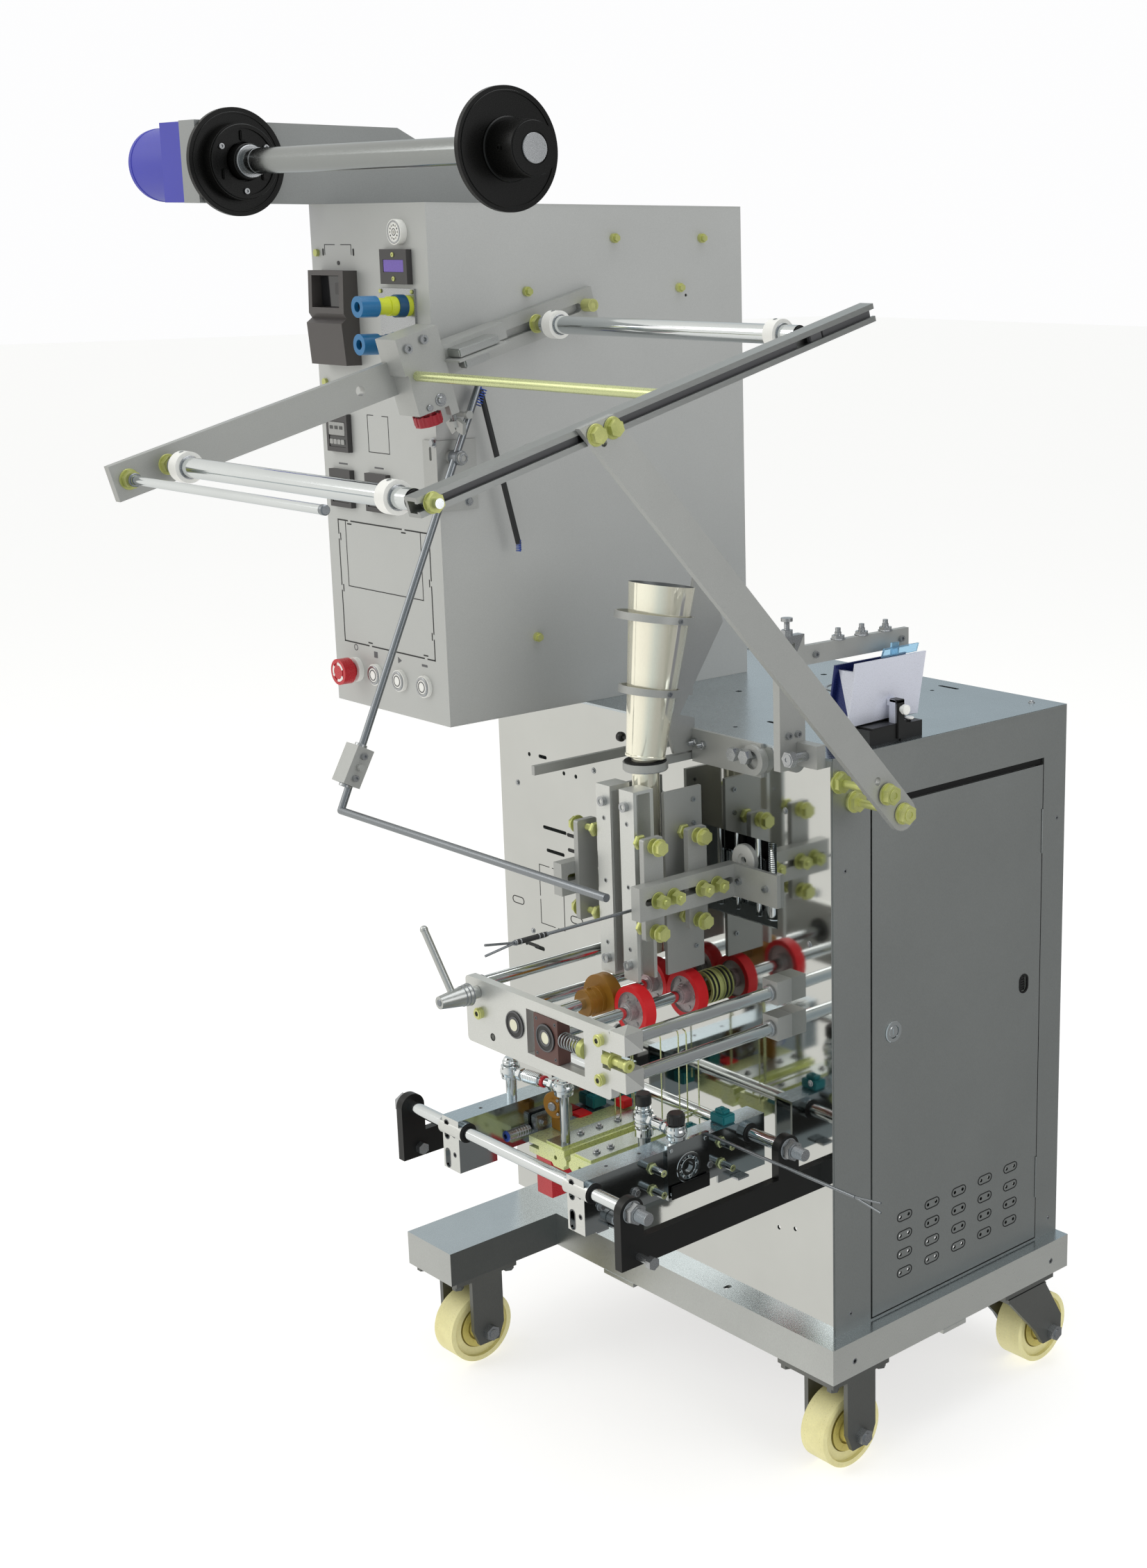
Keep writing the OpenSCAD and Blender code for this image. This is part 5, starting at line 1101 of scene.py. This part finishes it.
k.piece("stud_ends", "pale_zinc", "right_jaw_unit")
# plate with the round opening: bearing with its balls, corner screws
k.ring((-115, -130, 254), "x", 15.2, 19.0, -4.4, 0.6, 0.5, 48)
k.ring((-115, -130, 254), "x", 7.0, 11.0, -4.4, -0.4, 0.5, 40)
for y, z in circle(-130, 254, 13.1, 9):
    k.rod((-117.2, y, z), "x", 2.0, -1.8, 1.8, 0.8, 14)
for y in (-157, -103):
    for z in (227, 283):
        k.rod((-115, y, z), "x", 2.6, -0.1, 1.2, 0.4, 20)
k.piece("plate_bearing", "chrome", "right_jaw_unit")
k.box(-113.2, -110.8, -160, -100, 221, 238, 0.6)
k.prism(obround(-172, 262, 18, 5), "y", -190.9, -189.6)
k.piece("right_dark_plates", "black_iron", "right_jaw_unit")
for x0, y0, z0 in ((-212, -64, 244.1), (-149, -66, 284.1)):
    k.box(x0, x0 + 26, y0, y0 + 20, z0, z0 + 12, 1.5)
    k.box(x0 + 5, x0 + 21, y0 + 4, y0 + 16, z0 + 11.9, z0 + 17, 1.0)
    k.rod((x0 + 13, y0 + 10, z0 + 17), "z", 2.6, -0.1, 2.4, 0.6, 18)
k.piece("right_teal_blocks", "teal", "right_jaw_unit")
# studs, small plates, bolts and spacers on the right unit
for y in (-172, -150, -96):
    stud(-240, y)
k.box(-151.5, -120, -268, -250, 212, 214.8, 0.4)
k.box(-118.8, -100, -252, -236, 216, 219, 0.4)
k.box(-118.8, -104, -60, -42, 216, 219, 0.4)
for y in (-262, -210, -96):
    k.bolt((-118.9, y, 246), "x", 4.6, 0, 5)
for y in (-248, -226):
    k.ring((-119, y, 228), "x", 3, 7.5, 0, 12, 1.0, 26)
k.piece("right_unit_hardware", "steel", "right_jaw_unit")

# left unit: its link runs between the eyes at a and b
zl = 320
ax, ay, bx, by = -385.0, -192.0, FILM_X - 21, -180.0
eye(ax, ay, zl)
eye(bx, by, zl)
d = Vector((bx - ax, by - ay, 0))
u = d.normalized()
for h in (16, d.length - 22):
    k.hexagon((ax, ay, zl), u, 8.4, h, h + 6)
k.ring((ax, ay, zl), u, 5.4, 8.2, 26, 54, 1.2, 32)
for i in range(8):
    k.ring((ax, ay, zl), u, 7.6, 8.6, 28 + i * 3.1, 29.6 + i * 3.1, 0.3, 32)
k.ring((ax, ay, zl), "z", 7.02, 10.2, 10, 14.6, 0.8, 28)
k.lathe((ax, ay, zl + 15), "z", [(0, -0.5), (8.6, -0.5), (8.6, 2), (6.8, 4), (0, 4)], 28)
k.piece("left_rod_ends", "chrome", "left_jaw_unit")
k.ring((ax, ay, zl), u, 5.4, 7.6, 57, 62, 0.8, 28)
k.rod((-392, -248, 225), "-y", 9.5, -30, 6, 1.2, 32)
k.ring((-392, -248, 225), "-y", 4, 7, 5.8, 7.4, 0.4, 28)
k.piece("left_red_cap", "red", "left_jaw_unit")
# ochre flange under the right eye of the left link
k.lathe((-332, -162, 281), (0.25, -1, 0),
        [(6, -4), (17, -4), (17.8, -3), (17.8, 4), (16.8, 5), (10, 5), (9, 8), (6, 8)], 44)
k.box(-346, -318, -161, -153, 244.1, 268, 1.5)
k.piece("ochre_flange", "ochre", "left_jaw_unit")
for x, z in circle(-332, 281, 13, 4, math.pi / 4):
    k.rod((x, -166, z), (0.25, -1, 0), 2.2, 0, 2.8, 0.6, 18)
k.rod((-332, -162, 281), (0.25, -1, 0), 5.9, -12, 11, 1.0, 28)
for y in (-176, -150, -120, -90):
    stud(-300, y)
# gauge block, bolts and sensor barrel beside the left jaw
k.box(-366, -354, -178, -120, 226, 262, 1.5)
for y in (-168, -146, -128):
    k.bolt((-354.1, y, 252), "x", 4.4, 0, 5)
k.rod((-368, -204, 243), "-y", 6.5, -24, 10, 0.8, 30)
for h in range(5):
    k.ring((-368, -204, 243), "-y", 6.2, 7.1, -20 + h * 4, -18 + h * 4, 0.4, 28)
k.piece("left_unit_hardware", "steel", "left_jaw_unit")
k.ring((-368, -214, 243), "-y", 3.2, 7.2, -0.1, 2.2, 0.6, 30)
k.piece("sensor_ring", "blue_tip", "left_jaw_unit")
k.box(-378, -352, -88, -66, 246, 262, 1.5)
k.box(-374, -350, -40, -18, 236, 254, 1.5)
k.rod((-364, -77, 262), "z", 4, -0.1, 3, 0.8, 24)
k.piece("left_teal_blocks", "teal", "left_jaw_unit")
k.box(-368, -346, -116, -94, 226, 246, 1.5)
k.prism(rounded(-340, -322, 247.1, 258, 2), "y", -62, -48)
k.piece("left_red_blocks", "tyre", "left_jaw_unit")
wires(1, (-301, -62, 373), (-345, -30, 361), (-320, -78, 333), (-314, -74, 333))
k.piece("left_guide_wires", "pale_zinc", "left_jaw_unit")
wires(-1, (-222, -52, 379), (-216, -44, 379), (-240, -66, 373), (-210, -30, 353))
for z in (262, 268):
    k.tube([(-218, -128, z), (-218, -30, z), (-216, -24, z)], 1.4, 8)
k.piece("right_guide_wires", "pale_zinc", "right_jaw_unit")

# cross shafts: seals at the bushings, threads and washers at the ends
for y in (-276, -31):
    for x, s in ((-44, 1), (-494, -1)):
        k.ring((x, y, SHAFT_H), (s, 0, 0), 8.3, 13.4, -0.2, 1.2, 0.4, 36)
        k.ring((x, y, SHAFT_H), (s, 0, 0), 7.4, 9.6, 10.6, 12.0, 0.4, 30)
    k.thread((-33, y, SHAFT_H), "x", 7.7, 0, 18.6, 1.5, 26)
k.piece("cross_shaft_hardware", "steel")
for name, x0, w in (("left", -402, 34), ("right", -151, 32)):
    body = name + "_jaw_unit"
    for y in (-276, -31):
        for x, s in ((x0 - 6, -1), (x0 + w + 6, 1)):
            k.ring((x, y, SHAFT_H), (s, 0, 0), 8.3, 11.8, -0.1, 1.3, 0.4, 36)
    k.piece(name + "_shaft_seals", "gasket", body)
    # painted shade: dark outlines round the slots and holes of the carriage plates
    for z in (229, 267):
        k.prism(obround(x0 + 9, z, 26.5, 10.5, True), "y", -286.3, -285.9,
                [obround(x0 + 9, z, 24.2, 8.2, True)])
    for dz in (22, 48):
        k.ring((x0 + 24, -286, 215 + dz), "-y", 2.2, 3.4, -1.6, 0.2, 0.2, 24)
    for y in (-240, -190, -120, -70):
        k.ring((x0 + w / 2, y, 284), "z", 1.2, 2.4, -1.4, 0.2, 0.2, 20)
    k.piece(name + "_painted_hole_shade", "label", body)


# ---- pieces: coder on the top plate ----------------------------------------------------------
k.prism([(132, 853), (192, 853), (196, 863), (136, 863)], "x", -46.5, -43.5)
k.prism([(150, 853), (162, 853), (164, 868), (152, 868)], "x", -49.5, -46.4)
k.piece("coder_glass", "ice")
k.box(-33.9, -31.0, 146, 158, 752, 800, 0.8)
k.box(-46, -31.0, 146, 158, 796, 800.5, 0.8)
k.box(-62.5, -33.5, 104, 150, 768.9, 771, 0.6)
k.piece("coder_hook", "black")
k.lathe((-31, 152, 789), "x",
        [(0, -0.1), (4, -0.1), (4, 3), (6.2, 4), (6.2, 9), (4.6, 10.4), (0, 10.4)], 28)
k.rod((-40, 176, 771.9), "z", 5.4, -0.1, 2.4, 0.8, 26)
k.piece("coder_knob", "white")
k.box(-70, -60, 96, 196, 786, 812, 2)
k.rod((-66, 120, 826), "y", 10, 0, 60, 1.5, 36)
k.piece("coder_inside", "chute_blue")
for y in (82, 122, 163):
    k.ring((-69, y, 879), "z", 4, 9.2, 0.05, 1.3, 0.3, 28)
    k.thread((-69, y, 888), "z", 3.4, 0, 5, 1.2)
for z in (838, 776):
    for y in (-6, 9):
        k.socket_cap((-64.0, y, z), "x", 4.2, -0.1, 4)
k.thread((-69.5, -1, 900), "z", 3.4, 0.6, 10, 1.2)
for y in (40, 186):
    k.socket_cap((-65.0, y, 867), "x", 4.0, -0.1, 3.8)
k.ring((-49, -22, 752), "-y", 3.0, 7.2, -0.1, 0.8, 0.3, 28)
k.piece("coder_screws", "steel")
k.local = LEVEL


# ---- pieces: strut and top screws ------------------------------------------------------------
for y, z in ((35, 907), (61, 879)):
    k.ring((50, y, z), "x", 4, 7.8, 19.9, 21.2, 0.4, 30)
    k.thread((50, y, z), "x", 5.2, -26, -8, 1.5, 22)
    k.ring((-22, y, z), "x", 8, 13.8, 2.4, 3.6, 0.4, 32)
k.piece("strut_bolt_threads", "zinc")
for x, y in ((-610, 40), (-610, 430), (-60, 430), (-330, 40), (-500, 200), (-160, 200)):
    k.rod((x, y, BASE + 750), "z", 4.6, -0.1, 1.0, 0.5, 24)
    k.rod((x, y, BASE + 750), "z", 2.8, 0.9, 3.0, 0.8, 20)
k.ring((-300, 330, BASE + 750), "z", 30, 33, -0.1, 1.2, 0.4, 56)
k.piece("top_plate_screws", "steel")


# ---- camera, light and floor -----------------------------------------------------------------
CAMERA_AT = (2.0923, -1.6260, 1.5293)
CAMERA_DOWN, CAMERA_TURN = 14.01, 44.35         # degrees below the horizon, and round Z
LENS, CAMERA_SHIFT = 49.46, (-0.194, -0.005)
# reflected surroundings, from behind the machine's right side round to its left front
SKY = ((0.0, (0.25, 0.255, 0.255)), (0.22, (0.29, 0.295, 0.295)), (0.5, (0.44, 0.50, 0.53)),
       (0.75, (0.78, 0.78, 0.75)), (1.0, (0.95, 0.94, 0.90)))


def stage():
    """Even bright studio; the background that the camera sees is plain near-white."""
    scene = bpy.context.scene
    scene.view_settings.view_transform = "Standard"
    world = bpy.data.worlds.new("studio")
    scene.world = world
    world.use_nodes = True
    nt = world.node_tree
    back = nt.nodes["Background"]
    coords = nt.nodes.new("ShaderNodeTexCoord")
    dot = nt.nodes.new("ShaderNodeVectorMath")
    dot.operation = "DOT_PRODUCT"
    dot.inputs[1].default_value = (-0.7, -0.7, 0.1)
    nt.links.new(coords.outputs["Generated"], dot.inputs[0])
    ramp = nt.nodes.new("ShaderNodeValToRGB")
    for end, (pos, col) in zip(ramp.color_ramp.elements, (SKY[0], SKY[-1])):
        end.position, end.color = pos, (*col, 1)
    for pos, col in SKY[1:-1]:
        ramp.color_ramp.elements.new(pos).color = (*col, 1)
    scale = nt.nodes.new("ShaderNodeMapRange")
    scale.inputs["From Min"].default_value = -1
    nt.links.new(dot.outputs["Value"], scale.inputs["Value"])
    nt.links.new(scale.outputs["Result"], ramp.inputs["Fac"])
    path = nt.nodes.new("ShaderNodeLightPath")
    mix = nt.nodes.new("ShaderNodeMix")
    mix.data_type = "RGBA"
    mix.inputs[7].default_value = (0.985, 0.985, 0.99, 1)
    nt.links.new(path.outputs["Is Camera Ray"], mix.inputs[0])
    nt.links.new(ramp.outputs["Color"], mix.inputs[6])
    nt.links.new(mix.outputs[2], back.inputs["Color"])

    bpy.ops.mesh.primitive_plane_add(size=60, location=(0, 0, -0.0005))
    floor = bpy.context.object
    floor.name = "floor"
    floor.visible_glossy = False
    t = Tree("floor_paper")
    tone = t.scaled((0.50, 0.496, 0.490), t.remap(t.noise(1.2), 0.99, 1.0))
    t.link(tone, t.bsdf.inputs["Base Color"])
    t.bsdf.inputs["Roughness"].default_value = 0.9
    t.bsdf.inputs["Emission Color"].default_value = (1, 0.99, 0.98, 1)
    t.bsdf.inputs["Emission Strength"].default_value = 0.66
    floor.data.materials.append(t.mat)

    for name, at, aim, size, watts in (("key", (-2.6, -3.2, 3.6), (0, 0, 0.8), 2.6, 42),
                                       ("over", (0.2, 0.4, 4.2), (0, 0, 0.8), 3.2, 60),
                                       ("side", (3.6, 0.6, 1.9), (0, 0, 0.7), 2.4, 30)):
        light = bpy.data.lights.new(name, "AREA")
        light.size, light.energy = size, watts
        lamp = bpy.data.objects.new(name, light)
        lamp.location = at
        lamp.rotation_euler = (Vector(aim) - Vector(at)).to_track_quat("-Z", "Y").to_euler()
        scene.collection.objects.link(lamp)

    cam = bpy.data.cameras.new("camera")
    cam.sensor_width, cam.lens = 36, LENS
    cam.shift_x, cam.shift_y = CAMERA_SHIFT
    cam.clip_end = 60
    camera = bpy.data.objects.new("camera", cam)
    camera.location = CAMERA_AT
    camera.rotation_euler = (math.radians(90 - CAMERA_DOWN), 0, math.radians(CAMERA_TURN))
    scene.collection.objects.link(camera)
    scene.camera = camera


stage()
